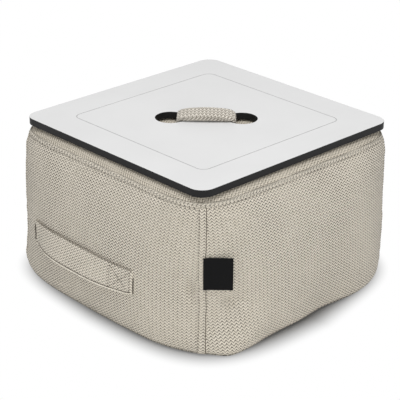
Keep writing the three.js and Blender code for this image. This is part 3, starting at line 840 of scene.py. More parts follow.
    def over(self, turn: np.ndarray, arc: np.ndarray, out: np.ndarray | float) -> np.ndarray:
        """Give places that stand off the skin.

        Args:
            turn: places round the pouf.
            arc: places up it.
            out: distance outwards.

        Returns:
            Points.
        """
        turn, arc, out = np.broadcast_arrays(turn, arc, out)
        return self.skin(turn, arc) + self.outward(turn, arc) * out[..., None]

    def drawn_in(self, ring: np.ndarray, count: int) -> np.ndarray:
        """Draw the top's last ring in to its middle, where the top sags as a bell curve.

        Args:
            ring: points round the flat top.
            count: number of rings, with the last one just short of the middle.

        Returns:
            Points, in rows.
        """
        shrink = np.linspace(1, 0, count + 2)[1:-1, None, None]
        flat = ring[None] * np.array([1, 1, 0]) * shrink + np.array([0, 0, 1]) * ring[None]
        flat[..., 2] -= self.sag * hill(np.linalg.norm(flat[..., :2], axis=-1), self.sag_reach)
        return flat

    def turn_at(self, side: int, along: np.ndarray, arc: np.ndarray) -> np.ndarray:
        """Give the turn of places on one side: s = along / x, with x = face (1 - |along / face|^n)^(1/n).

        Args:
            side: 0 to 3 for +X, +Y, -X and -Y.
            along: distance from the side's middle, towards the next side.
            arc: places up it.

        Returns:
            Turns.
        """
        face, corner = (np.interp(arc, self.arc, table) for table in (self.face, self.corner))
        power = math.log(2) / np.log(face / corner)
        x = face * (1 - (np.abs(along) / face) ** power) ** (1 / power)
        return side + (along / x + 1) / 2

    def beside_corner(self, corner_number: int, right: np.ndarray, arc: np.ndarray) -> np.ndarray:
        """Give the turn of places a distance right of a corner line, seen from outside."""
        corner = np.interp(arc, self.arc, self.corner)
        return corner_number + right * math.sqrt(0.5) / corner


@dataclass
class Stuffing:
    """A short cloth simulation of the stuffed cover.

    A coarse cage of the skin is blown up by an even pressure while its seams are held: the rows at the base seam and
    under the top seam, and the columns at the corners. The skin keeps how far each point went outwards, up to a cap.
    """

    columns: int = 192
    rows: int = 32
    pressure: float = 4.0
    stiffness: float = 15.0
    frames: int = 20
    quality: int = 6
    cap: float = 3 * MM

    def settle(self, shape: PoufShape) -> None:
        """Run the simulation and hand its swelling to the skin."""
        arc = np.linspace(shape.base_arc, shape.arc_at(shape.held_height), self.rows)
        turn, arc = np.meshgrid(np.linspace(0, 4, self.columns, endpoint=False), arc)
        start = shape.skin(turn, arc)
        faces, _ = grid_faces(self.rows, self.columns, Close.ACROSS)
        cage = mesh_object("cover_cage", start.reshape(-1, 3), faces.tolist())
        self._blow_up(cage)
        for number in range(1, self.frames + 1):
            bpy.context.scene.frame_set(number)
        moved = np.empty(start.size)
        cage.evaluated_get(bpy.context.evaluated_depsgraph_get()).data.vertices.foreach_get("co", moved)
        bpy.data.objects.remove(cage)
        bpy.context.scene.frame_set(1)
        out = np.sum((moved.reshape(start.shape) - start) * shape.outward(turn, arc), axis=-1)
        log.info("the stuffed cover moves by %.1f to %.1f mm", out.min() / MM, out.max() / MM)
        shape.stuffed = np.clip(out, -self.cap, self.cap)

    def _blow_up(self, cage: bpy.types.Object) -> None:
        """Give the cage its held seams and its cloth, with pressure and no weight."""
        seams = np.zeros((self.rows, self.columns), dtype=bool)
        seams[[0, -1]] = True
        seams[:, ::self.columns // 4] = True
        cage.vertex_groups.new(name="seams").add(np.flatnonzero(seams).tolist(), 1.0, "REPLACE")
        cloth = cage.modifiers.new("cloth", "CLOTH")
        cloth.point_cache.frame_end = self.frames
        cloth.settings.vertex_group_mass = "seams"
        cloth.settings.use_pressure = True
        cloth.settings.uniform_pressure_force = self.pressure
        cloth.settings.tension_stiffness = self.stiffness
        cloth.settings.compression_stiffness = self.stiffness
        cloth.settings.effector_weights.gravity = 0.0
        cloth.settings.quality = self.quality


def capsule() -> tuple[np.ndarray, np.ndarray]:
    """Give a straight stitch of length 2 along x and radius 1: rings that shrink to both ends.

    Returns:
        Its points, and its quads' point numbers with the two end faces as quads of their own.
    """
    sides = 6
    places = np.array([-1.0, -0.75, 0.0, 0.75, 1.0])
    radius = np.array([0.35, 0.85, 1.0, 0.85, 0.35])
    angle = np.linspace(0, 2 * math.pi, sides, endpoint=False)
    across = radius[:, None] * np.cos(angle)
    up = radius[:, None] * np.sin(angle)
    points = np.stack([np.broadcast_to(places[:, None], across.shape), across, up], -1).reshape(-1, 3)
    faces, _ = grid_faces(len(places), sides, Close.ACROSS)
    last = len(points) - sides
    ends = np.array([[0, 5, 4, 3], [0, 3, 2, 1], [last, last + 1, last + 2, last + 3],
                     [last, last + 3, last + 4, last + 5]])
    return points, np.concatenate([faces, ends])


def stitches(name: str, places: np.ndarray, along: np.ndarray, outward: np.ndarray, length: float,
             radius: float, sink: float) -> bpy.types.Object:
    """Sew a row of stitches: one capsule at each place, all made by one product of arrays.

    With x from -1 to 1 along it, a stitch is bowed out by rise (1 - x^2) - sink times the thread's radius.

    Args:
        name: the piece's name.
        places: middles of the stitches.
        along: their directions.
        outward: the cloth's outward directions.
        length: a stitch's length.
        radius: the thread's radius.
        sink: share of the radius by which the thread lies in the cloth.

    Returns:
        The linked object.
    """
    rise = 0.6
    points, faces = capsule()
    along = unit(along)
    across = unit(np.cross(outward, along))
    up = np.cross(along, across)
    bow = radius * (rise * (1 - points[:, 0] ** 2) - sink)
    local = np.stack([points[:, 0] * length / 2, points[:, 1] * radius, points[:, 2] * radius + bow], -1)
    axes = np.stack([along, across, up], 1)
    every = places[:, None] + np.einsum("pk,nkj->npj", local, axes)
    numbers = faces[None] + (np.arange(len(places)) * len(points))[:, None, None]
    return mesh_object(name, every.reshape(-1, 3), numbers.reshape(-1, 4).tolist())


def along_path(path: np.ndarray, pitch: float) -> np.ndarray:
    """Divide a path evenly.

    Args:
        path: closely spaced points.
        pitch: distance between places, nearly.

    Returns:
        Each place as a fractional number of a point of the path.
    """
    run = arc_lengths(path, 0)
    count = max(1, int(round(run[-1] / pitch)))
    wanted = (np.arange(count) + 0.5) * run[-1] / count
    return np.interp(wanted, run, np.arange(len(path)))


def sampled(table: np.ndarray, place: np.ndarray) -> np.ndarray:
    """Read rows of a table at fractional row numbers, in a straight line between rows."""
    low = np.clip(np.floor(place).astype(int), 0, len(table) - 2)
    share = (place - low)[:, None]
    return table[low] * (1 - share) + table[low + 1] * share


def sew(name: str, path: np.ndarray, outward: np.ndarray, pitch: float, length: float,
        radius: float, sink: float) -> bpy.types.Object:
    """Sew stitches along a path.

    Args:
        name: the piece's name.
        path: closely spaced points.
        outward: the cloth's outward direction at each.
        pitch: distance between stitches.
        length: a stitch's length.
        radius: the thread's radius.
        sink: share of the radius by which the thread lies in the cloth.

    Returns:
        The linked object.
    """
    place = along_path(path, pitch)
    heading = np.gradient(path, axis=0)
    return stitches(name, sampled(path, place), sampled(heading, place), sampled(outward, place), length, radius, sink)


def merged(name: str, pieces: list[bpy.types.Object]) -> bpy.types.Object:
    """Join plain pieces with no modifiers to one.

    Args:
        name: the joined piece's name.
        pieces: what is joined; they are removed.

    Returns:
        The joined object.
    """
    with bpy.context.temp_override(active_object=pieces[0], selected_editable_objects=pieces):
        bpy.ops.object.join()
    pieces[0].name = name
    pieces[0].data.name = name
    return pieces[0]


@dataclass
class Cover:
    """The pouf's cover: four side panels, top, base, the seam round the top and the four corner seams."""

    shape: PoufShape
    cloth: float = 2.0 * MM
    base_cloth: float = 1.6 * MM
    fell_cloth: float = 0.7 * MM
    allowance: float = 4.0 * MM
    loop_columns: int = 480
    panel_columns: int = 150
    panel_rows: int = 96
    panel_half: float = 0.4995
    panel_lift: float = 0.4 * MM
    weave_shift: float = 3.1 * MM
    corner_dip: float = 1.7 * MM
    corner_reach: float = 3.6 * MM
    pucker: float = 0.6 * MM
    pucker_wave: float = 26 * MM
    pucker_reach: float = 16 * MM
    gather: float = 0.5 * MM
    gather_wave: float = 30 * MM
    gather_reach: float = 14 * MM
    band_dip: float = 0.5 * MM
    band_dip_reach: float = 2.2 * MM
    base_dip: float = 1.4 * MM
    base_dip_reach: float = 3 * MM
    roll_rows: int = 26
    top_rings: int = 22
    fade_start: float = 4 * MM
    fade_length: float = 10 * MM
    band_half: float = 4.6 * MM
    band_rise: float = 1.3 * MM
    band_height: float = 272.3 * MM
    band_rows: int = 17
    band_overlap: float = 1.12
    band_power: float = 2.6
    band_foot: float = -0.4
    band_unevenness: float = 0.16
    band_wave: float = 16 * MM
    stitch_pitch: float = 4.4 * MM
    stitch_length: float = 3.1 * MM
    stitch_edge: float = 0.93
    stitch_lift: float = 0.25 * MM
    strip_rows: int = 150
    strip_low: float = 1.5 * MM
    strip_high: float = 3 * MM
    strip_column: float = 3.6
    strip_unevenness: float = 0.12
    strip_wave: float = 14 * MM
    rim_rows: int = 12
    rim_overlap: float = 0.6 * MM
    piping: float = 1.0 * MM
    piping_reach: float = 2.2 * MM
    floor_rows: int = 22
    zip_y: float = 110 * MM
    zip_length: float = 300 * MM
    zip_window: float = 12 * MM
    zip_fold: tuple[float, float] = (0.6 * MM, 1.6 * MM)

    def build(self) -> None:
        """Build and dress every piece of the cover."""
        strips = [self._corner_strip(number) for number in range(4)]
        for side in range(4):
            self._side_panel(side)
        self._top_panel()
        self._base_panel()
        self._top_seam()

    def _relief(self, turn: np.ndarray, arc: np.ndarray) -> np.ndarray:
        """Give how far the cloth stands off the fitted skin: dips into the seams, and puckers that fade from them.

        Args:
            turn: places round the pouf.
            arc: places up it.

        Returns:
            Distance outwards.
        """
        corner = np.interp(arc, self.shape.arc, self.shape.corner)
        apart = np.abs((turn + 0.5) % 1 - 0.5) * corner / math.sqrt(0.5)
        below_seam = np.abs(arc - self.shape.arc_at(self.band_height)) - self.band_half
        above_base = np.abs(arc - self.shape.base_arc)
        run = turn * SIDE_RUN
        near_corner, near_seam = np.exp(-apart / self.pucker_reach), np.exp(-np.abs(below_seam) / self.gather_reach)
        pucker = self.pucker * near_corner * ripple(run * 0.15, arc, self.pucker_wave, seed=3)
        gather = self.gather * near_seam * ripple(run, arc * 0.2, self.gather_wave, seed=5)
        dips = (self.corner_dip * hill(apart, self.corner_reach) + self.band_dip * hill(below_seam, self.band_dip_reach)
                + self.base_dip * hill(above_base, self.base_dip_reach))
        return pucker + gather - dips

    def _side_panel(self, side: int) -> None:
        """Make one side panel, with the weave's rows level and its columns upright from the panel's middle."""
        turn = side + 0.5 + self.panel_half * crowded(self.panel_columns)
        length = self.shape.arc_at(self.band_height) - self.shape.base_arc
        arc = self.shape.base_arc + self.panel_lift + length * np.linspace(0, 1, self.panel_rows)
        turn, arc = np.meshgrid(turn, arc)
        points = self.shape.over(turn, arc, self._relief(turn, arc))
        across = arc_lengths(points, 1)
        mirror = 1 if side % 2 else -1
        across = (across - across[:, self.panel_columns // 2][:, None]) * mirror + side * self.weave_shift
        name = SIDE_NAMES[side]
        piece = grid_object(f"{name}_panel_cloth", points, np.stack([across, arc], -1))
        thicken(piece, self.cloth)
        dress(piece, COVER)
        settle(piece, "cover_cloth", f"cover_{name}_panel")
        length = float(np.ptp(arc)) + 2 * self.allowance

    def _top_panel(self) -> None:
        """Make the top panel: from under the top seam over the roll, then in to the middle, where it sags."""
        turn = np.linspace(0, 4, self.loop_columns + 1)[:-1]
        arc = np.linspace(self.shape.arc_at(self.band_height), self.shape.top_arc, self.roll_rows)
        turn_grid, arc_grid = np.meshgrid(turn, arc)
        roll = self.shape.over(turn_grid, arc_grid, self._relief(turn_grid, arc_grid) * self._fade(arc_grid))
        flat = self.shape.drawn_in(roll[-1], self.top_rings)
        points = np.concatenate([roll, flat])
        face = np.interp(arc, self.shape.arc, self.shape.face)
        unrolled = (face[-1] + self.shape.top_arc - arc) / face
        uv = wrapped(np.concatenate([roll[..., :2] * unrolled[:, None, None], flat[..., :2]]))
        middle = np.array([0, 0, self.shape.height - self.shape.sag])
        piece = grid_object("top_panel_cloth", points, uv, Close.ACROSS, middle)
        thicken(piece, self.cloth)
        # Painted shade: the top wears the darker copy of the cover weave.
        dress(piece, TOP_SHADED)
        settle(piece, "cover_cloth", "cover_top_panel")

    def _fade(self, arc: np.ndarray) -> np.ndarray:
        """Let the relief fade over the roll, so that the top lies flat under the tray."""
        return 1 - np.clip((arc - self.shape.seam_arc - self.fade_start) / self.fade_length, 0, 1)

    def _base_panel(self) -> None:
        """Make the base: a rim that curls up to the base seam, and a flat floor ruled in to the zip's window."""
        turn = np.linspace(0, 4, self.loop_columns + 1)[:-1]
        arc = np.linspace(self.shape.base_arc + self.rim_overlap, 0, self.rim_rows)
        turn_grid, arc_grid = np.meshgrid(turn, arc)
        piping = self.piping * hill(arc_grid - self.shape.base_arc, self.piping_reach)
        rim = self.shape.over(turn_grid, arc_grid, piping)
        rim[..., 2] = np.maximum(rim[..., 2], 0)
        window = self._window(rim[-1])
        share = np.linspace(0, 1, self.floor_rows)[1:, None, None]
        floor = rim[-1][None] * (1 - share) + window[None] * share
        fold = window[None] + np.array([0, 0, 1]) * np.array(self.zip_fold)[:, None, None]
        points = np.concatenate([rim, floor, fold])
        uv = points[..., :2].copy()
        face = np.interp(arc, self.shape.arc, self.shape.face)
        uv[:len(arc)] *= ((face[-1] + arc) / face)[:, None, None]
        points, uv = points[:, ::-1], wrapped(uv[:, ::-1])
        piece = grid_object("base_panel_cloth", points, uv, Close.ACROSS)
        thicken(piece, self.base_cloth)
        dress(piece, BASE)
        settle(piece, "base_cloth", "base_panel")

    def _window(self, ring: np.ndarray) -> np.ndarray:
        """Give the zip window's edge, met from each point of a ring along the line to the window's middle.

        Args:
            ring: points round the base.

        Returns:
            Points on the window's edge, where the line leaves the rectangle.
        """
        middle = np.array([0, self.zip_y, 0])
        ray = ring - middle
        half = np.array([self.zip_length / 2, self.zip_window / 2])
        reach = np.min(half / np.maximum(np.abs(ray[:, :2]), 1e-9), axis=1)
        return middle + ray * reach[:, None] * np.array([1, 1, 0])

    def _top_seam(self) -> None:
        """Make the felled seam round the top, a low rounded band, with a row of stitches along each edge.

        The stitches' dark thread is painted shadow along the seam's two lines.
        """
        turn = np.linspace(0, 4, self.loop_columns + 1)
        middle = self.shape.arc_at(self.band_height)
        place = np.linspace(-self.band_overlap, self.band_overlap, self.band_rows)
        turn_grid, arc_grid = np.meshgrid(turn, middle + place * self.band_half)
        swell = 1 + self.band_unevenness * ripple(turn_grid * SIDE_RUN, arc_grid * 0.3, self.band_wave, seed=11)
        back = np.clip(1 - np.abs(place) ** self.band_power, self.band_foot, 1)[:, None]
        points = self.shape.over(turn_grid, arc_grid, self.band_rise * back * swell)
        across = arc_lengths(points, 1)
        piece = grid_object("top_seam_fell", points[:, :-1], np.stack([across, arc_grid], -1), Close.ACROSS)
        thicken(piece, self.fell_cloth)
        dress(piece, COVER)
        settle(piece, "cover_cloth", "top_seam_band")
        rows = []
        for number, edge in enumerate((-self.stitch_edge, self.stitch_edge)):
            line = self.shape.over(turn, middle + edge * self.band_half + 0 * turn, self.stitch_lift)
            rows.append(sew(f"top_seam_row_{number}", line, self.shape.outward(turn, middle + 0 * turn),
                            self.stitch_pitch, self.stitch_length, radius=0.35 * MM, sink=0.4))
        self._finish_stitches(merged("top_seam_stitches", rows))

    @staticmethod
    def _finish_stitches(piece: bpy.types.Object) -> None:
        """Dress stitches in the dark crease thread, as painted shadow along their seam, and tie them to the pouf."""
        dress(piece, CREASE_SHADOW)
        settle(piece, "cover_cloth")

    def _corner_strip(self, number: int) -> bpy.types.Object:
        """Make one corner's felled seam: sewn down on its left edge, and a crisp folded edge on its right.

        Its last column of faces, beside the fold, is a dark strip of painted shadow.

        Args:
            number: the corner, 0 to 3.

        Returns:
            The strip.
        """
        right = np.array([-6.3, -5.2, -4.7, -4.2, -3.4, -2.4, -0.9, 0.9, 3.0, 5.0, 6.1, 6.6, 6.8, 6.9, 8.1]) * MM
        out = np.array([0.2, 0.2, 0.9, 1.4, 1.6, 1.7, 1.75, 1.75, 1.75, 1.8, 1.9, 1.75, 1.1, 0.25, 0.2]) * MM
        arc = np.linspace(self.shape.base_arc + self.strip_low, self.shape.arc_at(self.band_height) - self.strip_high,
                          self.strip_rows)
        arc_grid = np.broadcast_to(arc[:, None], (len(arc), len(right)))
        sway = 0.5 * MM * np.sin(arc * 41 + number)[:, None] + 0.25 * MM * np.sin(arc * 170 + 2 * number)[:, None]
        turn = self.shape.beside_corner(number, right + sway, arc_grid) % 4
        swell = 1 + self.strip_unevenness * ripple(arc_grid, right + 0 * arc_grid, self.strip_wave, seed=20 + number)
        dip = self.corner_dip * hill(right, self.corner_reach)
        points = self.shape.over(turn, arc_grid, self._relief(turn, arc_grid) + dip + out * swell)
        across = np.broadcast_to(right, arc_grid.shape)
        name = CORNER_NAMES[number]
        piece = grid_object(f"corner_fell_{name}", points, np.stack([across, arc_grid], -1))
        thicken(piece, self.fell_cloth)
        dress(piece, COVER, CREASE_SHADOW)
        # Painted shadow: the last column of faces, beside the fold, takes the dark crease finish.
        crease = np.zeros((len(arc) - 1, len(right) - 1), dtype=np.int32)
        crease[:, -1] = 1
        piece.data.polygons.foreach_set("material_index", crease.ravel())
        settle(piece, "cover_cloth", f"corner_seam_{name}")
        columns = points.transpose(1, 0, 2).reshape(len(right), -1)
        line = sampled(columns, np.array([self.strip_column])).reshape(-1, 3)
        outward = self.shape.outward(turn[:, math.ceil(self.strip_column)], arc)
        row = sew(f"corner_stitches_{name}", line, outward, self.stitch_pitch, self.stitch_length, radius=0.4 * MM,
                  sink=0.3)
        self._finish_stitches(row)
        return piece


@dataclass
class Filling:
    """What the cover holds: a liner in two halves and the beads in it."""

    shape: PoufShape
    liner_depth: float = 5.5 * MM
    liner: float = 0.8 * MM
    bead_depth: float = 8.2 * MM
    liner_seam: float = 150 * MM
    seam_gap: float = 0.2 * MM
    upper_cut: float = 745 * MM
    upper_wall: float = 137 * MM
    lower_cut: float = 800 * MM
    lower_wall: float = 150 * MM
    floor: float = 6.6 * MM
    floor_share: float = 0.975
    bend: float = 14 * MM
    columns: int = 160
    upper_rows: int = 40
    lower_rows: int = 30
    top_rings: int = 14
    floor_rings: int = 10

    def build(self) -> None:
        """Build and dress the liner and the beads."""
        self._sheet(self._dome("liner_upper", True), "liner_upper_half")
        self._sheet(self._dome("liner_lower", False), "liner_lower_half")
        self._beads()

    def _rings(self, depth: float, upwards: bool) -> np.ndarray:
        """Give rings from the liner's seam to the flat top or floor, at a depth inside the skin.

        Args:
            depth: distance inside the skin.
            upwards: whether they go up from the seam.

        Returns:
            Points, in rows round the pouf.
        """
        turn = np.linspace(0, 4, self.columns + 1)[:-1]
        if upwards:
            arc = np.linspace(self.shape.arc_at(self.liner_seam + self.seam_gap), self.shape.top_arc, self.upper_rows)
            return self.shape.over(turn[None], arc[:, None], -depth)
        arc = np.linspace(self.shape.arc_at(self.liner_seam - self.seam_gap), self.shape.arc_at(self.bend),
                          self.lower_rows)
        rings = self.shape.over(turn[None], arc[:, None], -depth)
        level = np.array([0, 0, self.floor + depth - self.liner_depth])
        last = rings[-1] * np.array([self.floor_share, self.floor_share, 0]) + level
        return np.concatenate([rings, last[None]])

    def _dome(self, name: str, upwards: bool) -> bpy.types.Object:
        """Make half the liner: its rings, then its end drawn in to a pole.

        Args:
            name: the piece's name.
            upwards: whether it is the upper half.

        Returns:
            The open half, whose faces point outwards.
        """
        rings = self._rings(self.liner_depth, upwards)
        points = np.concatenate([rings, self._end(rings[-1], upwards)])
        middle = np.array([0, 0, rings[-1, 0, 2] - self.shape.sag * upwards])
        if not upwards:
            points = points[:, ::-1]
        uv = wrapped(points[..., :2] * (1 + np.abs(points[..., 2:] - self.liner_seam)))
        return grid_object(name, points, uv, Close.ACROSS, middle)

    def _end(self, ring: np.ndarray, upwards: bool) -> np.ndarray:
        """Draw a last ring in to the middle: above, it sags with the cover, and below it is flat."""
        if upwards:
            return self.shape.drawn_in(ring, self.top_rings)
        shrink = np.linspace(1, 0, self.floor_rings + 2)[1:-1, None, None]
        return ring[None] * np.array([1, 1, 0]) * shrink + ring[None] * np.array([0, 0, 1])

    def _sheet(self, piece: bpy.types.Object, node: str) -> None:
        """Finish half the liner, which is cut as a square with a square out of each corner.

        Args:
            piece: the half.
            node: the node that it stands for.
        """
        thicken(piece, self.liner)
        dress(piece, LINER)
        settle(piece, "liner_cloth", node)

    def _beads(self) -> None:
        """Make the body of beads: both halves' rings at its depth, closed by a small flat face above and below."""
        upper = self._rings(self.bead_depth, True)
        lower = self._rings(self.bead_depth, False)[::-1]
        points = np.concatenate([self._end(lower[0], False)[::-1], lower, upper, self._end(upper[-1], True)])
        uv = np.zeros((len(points), self.columns + 1, 2))
        piece = grid_object("bead_body", points, uv, Close.ACROSS, caps=True)
        dress(piece, BEADS)
        settle(piece, "beads", "bead_fill")


@dataclass
class Tray:
    """The board: a black paper core between two white sheets, a scored square and two finger holes.

    It is stacked from flat plates. Below, a pocket joins the holes, where the tail of the strap lies. An outline is a
    function of an inset, by which its plate is drawn in, and goes clockwise round a hole.
    """

    half: float = 235 * MM
    radius: float = 27 * MM
    bottom: float = 287.3 * MM
    thickness: float = 13 * MM
    sheet: float = 0.8 * MM
    arris: float = 0.25 * MM
    line_half: float = 171 * MM
    line_radius: float = 16 * MM
    line_width: float = 1.2 * MM
    line_depth: float = 0.4 * MM
    hole_radius: float = 28 * MM
    hole_reach: float = 65 * MM
    hole_points: int = 96
    pocket_half: float = 20.3 * MM
    pocket_top: float = 290.3 * MM
    pocket_points: int = 73
    corner_points: int = 24

    def build(self) -> None:
        """Build and dress the core and both sheets; an outline's number is its wall's finish."""
        low, high = self.bottom + self.sheet, self.bottom + self.thickness - self.sheet
        top = self.bottom + self.thickness
        edge, holes, pocket = (self._edge, 1), [(self._right_hole, 1), (self._left_hole, 1)], (self._pocket, 1)
        line_in, line_core = (lambda inset: self._line(-1, inset), 2), (lambda inset: self._line(-1, inset)[::-1], 2)
        line_out, line_hole = (lambda inset: self._line(1, inset), 2), (lambda inset: self._line(1, -inset)[::-1], 2)
        core = [self._plate("core_low", [(self._edge, 0), (self._pocket, 0)], low, self.pocket_top),
                self._plate("core_high", [(outline, 0) for outline, _ in [edge, *holes]], self.pocket_top, high)]
        self._finish("tray_core_board", core, "tray_core", "tray_core", CORE)
        under = [self._plate("under", [edge, pocket], self.bottom, low, low_arris=self.arris)]
        self._finish("tray_under_face", under, "tray_sheet", "tray_under_sheet", WHITE, CORE)
        # Painted shade: the scored groove's walls and floor take the darker grey finish, number 2.
        over = [self._plate("frame", [edge, line_hole], high, top, high_arris=self.arris),
                self._plate("middle", [line_in, *holes], high, top, high_arris=self.arris),
                self._plate("line", [line_out, line_core], high, top - self.line_depth, cap=2)]
        self._finish("tray_top_face", over, "tray_sheet", "tray_top_sheet", WHITE, CORE, SCORED_SHADE)

    def _edge(self, inset: float) -> np.ndarray:
        """Give the board's outline."""
        return self._rounded(self.half - inset, self.radius - inset)

    def _line(self, side: int, inset: float) -> np.ndarray:
        """Give the scored line's inner edge, for -1, or its outer edge, for 1."""
        grow = side * self.line_width / 2 - inset
        return self._rounded(self.line_half + grow, self.line_radius + grow)

    def _right_hole(self, inset: float) -> np.ndarray:
        """Give the right finger hole."""
        return self._arc(0, 2 * math.pi, inset, self.hole_points + 1)[:-1][::-1]

    def _left_hole(self, inset: float) -> np.ndarray:
        """Give the left finger hole, as the right one's half turn."""
        return -self._right_hole(inset)

    def _pocket(self, inset: float) -> np.ndarray:
        """Give both holes and the pocket between them as one outline."""
        reach = math.pi - math.asin(self.pocket_half / self.hole_radius)
        right = self._arc(-reach, reach, inset, self.pocket_points)
        return np.concatenate([right, -right])[::-1]

    def _arc(self, start: float, end: float, inset: float, count: int) -> np.ndarray:
        """Give points round the right hole, between two angles from the holes' line."""
        angle = np.linspace(start, end, count)
        radius = self.hole_radius + inset
        return on_diagonal(self.hole_reach + radius * np.cos(angle), radius * np.sin(angle))

    def _rounded(self, half: float, radius: float) -> np.ndarray:
        """Give a rounded square's outline: an arc at each corner, counterclockwise."""
        quarter = np.arange(4)[:, None] * math.pi / 2
        angle = quarter + np.linspace(0, math.pi / 2, self.corner_points)[None]
        diagonal = quarter + math.pi / 4
        corner = math.sqrt(2) * (half - radius) * np.stack([np.cos(diagonal), np.sin(diagonal)], -1)
        return (corner + radius * np.stack([np.cos(angle), np.sin(angle)], -1)).reshape(-1, 2)

    @staticmethod
    def _plate(name: str, outlines: list[tuple[Callable, int]], low: float, high: float, low_arris: float = 0.0,
               high_arris: float = 0.0, cap: int = 0) -> bpy.types.Object:
        """Make a flat plate: walls round its outlines, and a top and a bottom that leave out the holes.

        Args:
            name: the plate's name.
            outlines: the edge and then the holes, as functions of an inset, each with its walls' finish number.
            low: height of its bottom.
            high: height of its top.
            low_arris: how far its lower edges are broken.
            high_arris: how far its upper edges are broken.
            cap: finish number of its top and bottom.

        Returns:
            The plate.
        """
        levels = [(low_arris, low)] + [(0.0, low + low_arris)] * (low_arris > 0)
        levels += [(0.0, high - high_arris)] * (high_arris > 0) + [(high_arris, high)]
        loops = [np.concatenate([outline(inset) for outline, _ in outlines]) for inset, _ in levels]
        points = np.concatenate([np.c_[loop, np.full(len(loop), z)] for loop, (_, z) in zip(loops, levels)])
        count, starts = len(loops[0]), np.cumsum([0] + [len(outline(0.0)) for outline, _ in outlines])
        rings = [np.arange(a, b) for a, b in zip(starts, starts[1:])]
        walls, finish = [], []
        for level in range(len(levels) - 1):
            for ring, (_, number) in zip(rings, outlines):
                near, far = ring + level * count, np.roll(ring, -1) + level * count
                walls += np.stack([near, far, far + count, near + count], -1).tolist()
                finish += [number] * len(ring)
        for level, step in ((0, -1), (len(levels) - 1, 1)):
            flat = [Vector(place) for place in loops[level].tolist()]
            _, _, faces, origin, _, _ = delaunay_2d_cdt(flat, [], [ring.tolist() for ring in rings], 5, 1e-9)
            walls += [[origin[corner][0] + level * count for corner in face][::step] for face in faces]
            finish += [cap] * len(faces)
        plate = mesh_object(name, points, walls)
        plate.data.polygons.foreach_set("material_index", np.array(finish, dtype=np.int32))
        return plate

    @staticmethod
    def _finish(name: str, plates: list[bpy.types.Object], slot: str, node: str, *finishes: Finish) -> None:
        """Join plates to one piece, harden its edges and put it on the tray.

        Args:
            name: the piece's name.
            plates: the plates.
            slot: the record's material slot.
            node: the node that it stands for.
            finishes: its finishes, by number.
        """
        numbers = np.concatenate([material_numbers(plate) for plate in plates])
        piece = merged(name, plates)
        piece.data.set_sharp_from_angle(angle=math.radians(30))
        dress(piece, *finishes)
        piece.data.polygons.foreach_set("material_index", numbers)
        settle(piece, slot, node, body="tray")


